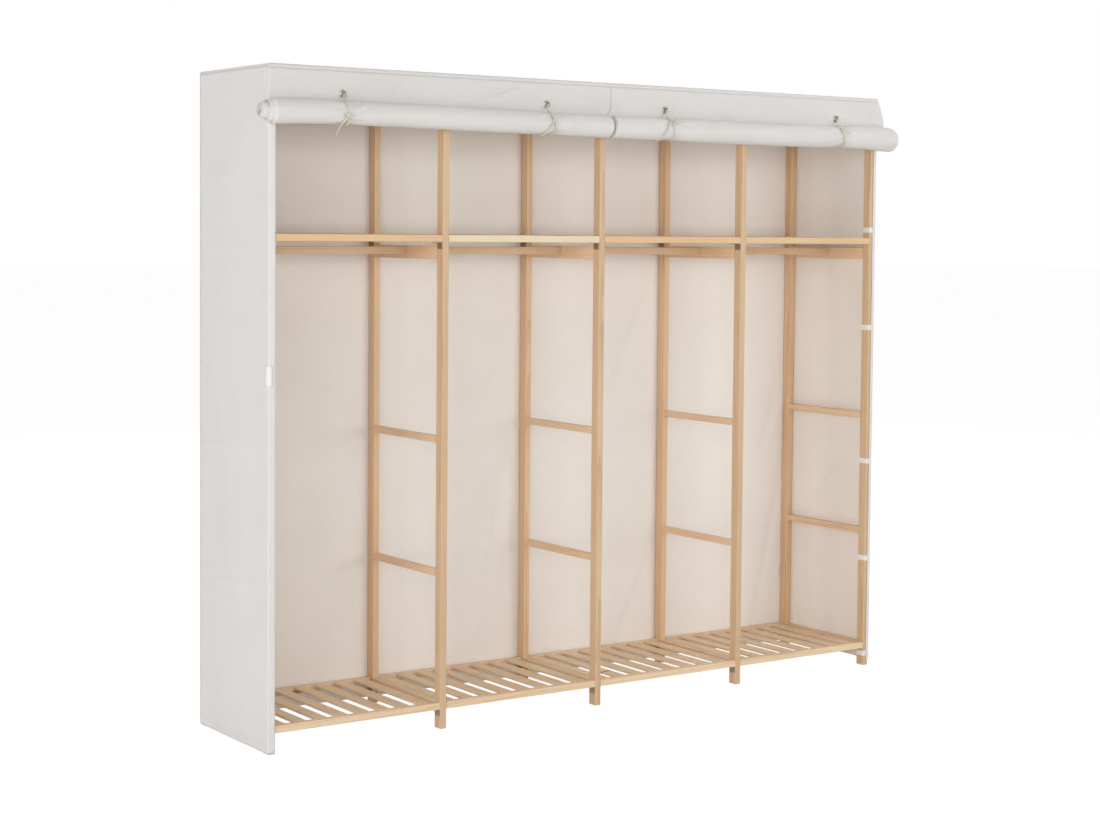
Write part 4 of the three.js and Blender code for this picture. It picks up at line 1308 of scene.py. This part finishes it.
for side, ends, ties in (
    ("left", (-COVER_SIDE, SLIT_PLACE - SLIT_WIDTH / 2), TIE_PLACES[:2]),
    ("right", (SLIT_PLACE + SLIT_WIDTH / 2, COVER_SIDE), TIE_PLACES[2:]),
):
    marks = [place + k * EYELET_HOLE for place in ties for k in (-1, 1)]
    marks += [mark if side == "right" else -mark for mark in EDGE_MARKS]
    across = even_steps(*ends, CURTAIN_STEP, marks)
    eyelet_rows = [COVER_TOP - EYELET_HEIGHT + k * EYELET_HOLE for k in (-1, 1)]
    flat_rows = [*eyelet_rows, COVER_TOP - SLIT_TOP]
    down = even_steps(BAND_HEIGHT + BAND_GAP, COVER_TOP - DROP_START, CURTAIN_STEP, flat_rows)
    down += [COVER_TOP - DROP_START + d for d in even_steps(0.0, DROP_START - ROLL_HEIGHT, TUCKED_STEP)[1:]]
    holes = [(place, COVER_TOP - EYELET_HEIGHT, EYELET_HOLE) for place in ties]
    inner = ends[1] if side == "left" else ends[0]

    def curtain_point(u, v):
        """Above the slit, the two curtains meet."""
        met = SLIT_PLACE if u == round(inner, 6) and COVER_TOP - v > SLIT_TOP + BAND_GAP else u
        return valance_point(met, COVER_TOP - v)

    name = f"{side}_curtain_cloth"
    curtain = cloth_sheet(name, across, down, curtain_point, curtain_cloth, curtain_inside_painted_light, holes)
    start, end = (0, COVER_FRONT, DROP_START), (0, COVER_FRONT, ROLL_HEIGHT)
    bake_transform(curtain)

# Eyelets. Nickel-plated steel, pressed through the valance from both sides, one for each tie.
EYELET_SCALE = 1.12
EYELET_SIDES = 40
EYELET_PROFILE = (
    (0.0052, 0.0028), (0.0052, -0.0006), (0.0058, -0.0017), (0.0070, -0.0021), (0.0084, -0.0015),
    (0.0095, -0.0002), (0.0094, 0.0002), (0.0088, 0.0003), (0.0062, 0.0014), (0.0088, 0.0018),
    (0.0090, 0.0024), (0.0060, 0.0032),
)

eyelet_nickel = worn_metal(
    "eyelet_nickel", (158, 152, 146), roughness=0.24, metallic=1.0,
    scale=900.0, detail=3.0, spread=0.3, least=0.12,
)[0]
for number, place in enumerate(TIE_PLACES, 1):
    bm = bmesh.new()
    rings = []
    for radius, depth in EYELET_PROFILE:
        ring = []
        for k in range(EYELET_SIDES):
            angle = 2 * math.pi * k / EYELET_SIDES
            x, z = EYELET_SCALE * radius * math.cos(angle), EYELET_SCALE * radius * math.sin(angle)
            ring.append(bm.verts.new((x, depth, z)))
        rings.append(ring)
    for a, b in zip(rings, rings[1:] + rings[:1]):
        for k in range(EYELET_SIDES):
            n = (k + 1) % EYELET_SIDES
            bm.faces.new((a[k], b[k], b[n], a[n]))
    bmesh.ops.recalc_face_normals(bm, faces=bm.faces)
    eyelet = put_in_scene(f"eyelet_{number}", bm, eyelet_nickel)
    eyelet.location = (place, valance_front(place, EYELET_HEIGHT), EYELET_HEIGHT)
    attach(eyelet, "wardrobe")

# Rolled curtains. Each front curtain is rolled up from its hem on the outside of the valance, about fourteen
# loose turns of one sheet, and is drawn in where its two ties hold it. The turns show at both ends, and at
# the outer left one they have slipped out like the steps of a cone.
ROLL_TURNS = 14.5
ROLL_CORE = 0.005
ROLL_SIDES = 64
INNER_SIDES = 14
ROLL_CLOTH = 0.0011
RIM_STEPS = (0.0, 0.0015, 0.004, 0.008, 0.013, 0.02, 0.03, 0.045)
LEFT_END_STEPS = ((0.031, 0.003, 0.011), (0.0235, 0.004, 0.017), (0.012, 0.004, -0.003))
ROLL_TIP_STEP = 0.3
OUTER_TURNS = 1.15
END_STRETCH = 0.055
ROLL_STEP = 0.008
TIE_STEP = 0.0035
TIE_STEPS = 16
PUCKER = 0.030
PUCKER_COUNT = 7
PUCKER_TWIST = 60
PUCKER_REACH = 0.045
PUCKER_CORD = 0.006
ROLL_RIPPLE = 0.012
ROLL_UNEVEN = 0.010
RIM_DRAW = 0.0045
RIM_ROUND = 0.012
LEFT_REACH = 0.06
RIGHT_REACH = 0.03
END_SLIP = 0.0022
LEFT_SLIP = 0.0012
CORE_FLAT_RADIUS = 0.010
CORE_FLAT_RUN = 0.004
ROLL_CREASES = (
    (-0.806, -0.010, -0.748, 0.017, 0.0034, -0.0046),
    (-0.802, 0.000, -0.768, 0.024, 0.0036, 0.0032),
    (-0.798, -0.001, -0.774, 0.010, 0.0026, -0.0030),
    (-0.806, -0.012, -0.772, -0.020, 0.0045, 0.0026),
    (-0.822, 0.004, -0.868, 0.014, 0.0060, -0.0026),
    (-0.214, 0.018, -0.262, 0.004, 0.0060, -0.0026),
    (-0.186, 0.010, -0.140, -0.004, 0.0070, 0.0026),
    (0.215, 0.016, 0.262, 0.008, 0.0050, -0.0034),
    (0.178, 0.012, 0.118, 0.002, 0.0070, -0.0026),
    (0.803, 0.020, 0.748, -0.004, 0.0090, -0.0046),
    (0.826, 0.004, 0.842, -0.020, 0.0045, -0.0036),
    (0.830, 0.012, 0.880, 0.006, 0.0050, -0.0030),
)
ROLLS = (
    ("left", -1.013, -0.009, TIE_PLACES[:2], 0.008, 0.006),
    ("right", -0.001, 1.027, TIE_PLACES[2:], 0.006, 0.012),
)


def smooth_share(value):
    """Eases a share in and out."""
    value = max(0.0, min(1.0, value))
    return value * value * (3 - 2 * value)


def left_slip(radius, turns):
    """How far a turn has slipped out of the left end. The slips add up like the steps of a cone."""
    slip = -sum(step * smooth_share((edge - radius) / width) for edge, width, step in LEFT_END_STEPS)
    return slip + LEFT_SLIP * math.sin(1.7 * turns)


for side, start, end, ties, left_round, right_round in ROLLS:
    def roll_point(u, v):
        """u runs along the roll and v along the cloth, from where it leaves the valance inwards."""
        turns = ROLL_TURNS * (1 - math.sqrt(max(0.0, 1 - v)))
        angle = -2 * math.pi * turns
        y, z, radius = roll_shape(u)
        depth = 1 - (1 - ROLL_CORE / ROLL_RADIUS) * turns / ROLL_TURNS
        waist = min(ties, key=lambda place: abs(u - place + WAIST_SHIFT)) - WAIST_SHIFT
        gap = abs(u - waist)
        near = math.exp(-((gap / PUCKER_REACH) ** 2)) * (1 - math.exp(-((gap / PUCKER_CORD) ** 2)))
        pucker = PUCKER * near * math.sin(PUCKER_COUNT * angle + PUCKER_TWIST * (u - waist))
        drift = Vector((9 * u, 1.4 * math.cos(angle), 1.4 * math.sin(angle) + 4))
        ripple = ROLL_RIPPLE * noise.noise(drift)
        uneven = -ROLL_UNEVEN * (1 + math.sin(2 * angle + 9 * u))
        above = (math.pi - angle + math.pi) % (2 * math.pi) - math.pi
        crease = pressed(ROLL_CREASES, u, above * ROLL_RADIUS)
        outer = radius * (1 + pucker + ripple + uneven) + crease
        for rim, reach in ((u - start, left_round), (end - u, right_round)):
            if rim < reach:
                outer -= RIM_DRAW * (reach / RIM_ROUND) * (1 - rim / reach) ** 2
        r = outer * depth
        x = u
        loose = END_SLIP * math.sin(1.9 * turns + 2.0 * start)
        if u - start < LEFT_REACH:
            slip = left_slip(ROLL_RADIUS * depth, turns) if side == "left" else loose
            x += slip * smooth_share(1 - (u - start) / LEFT_REACH)
        elif end - u < RIGHT_REACH:
            x -= (END_SLIP + loose) * (1 - (end - u) / RIGHT_REACH)
        flat = smooth_share((CORE_FLAT_RADIUS - r) / CORE_FLAT_RUN)
        return (x, y + r * math.cos(angle) * (1 - 0.4 * flat), z + r * math.sin(angle) * (1 + 0.2 * flat))

    tie_steps = range(-TIE_STEPS, TIE_STEPS + 1)
    near_ties = [round(place - WAIST_SHIFT + TIE_STEP * k, 6) for place in ties for k in tie_steps]
    across = [start + rim for rim in RIM_STEPS]
    across += even_steps(start + END_STRETCH, end - END_STRETCH, ROLL_STEP, near_ties)
    across += [end - rim for rim in RIM_STEPS[::-1]]
    steps = []
    turn = 0.0
    while turn < ROLL_TURNS - ROLL_TIP_STEP:
        steps.append(1 - (1 - turn / ROLL_TURNS) ** 2)
        turn += 1 / (ROLL_SIDES if turn < OUTER_TURNS else INNER_SIDES)
    roll = cloth_sheet(
        f"{side}_curtain_roll",
        across,
        steps,
        roll_point,
        curtain_cloth,
        curtain_cloth,
        thickness=ROLL_CLOTH,
        grow=1.0,
    )
    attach(roll, f"{side}_curtain")
    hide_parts(f"curtain_roll_{side}")
    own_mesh(roll)
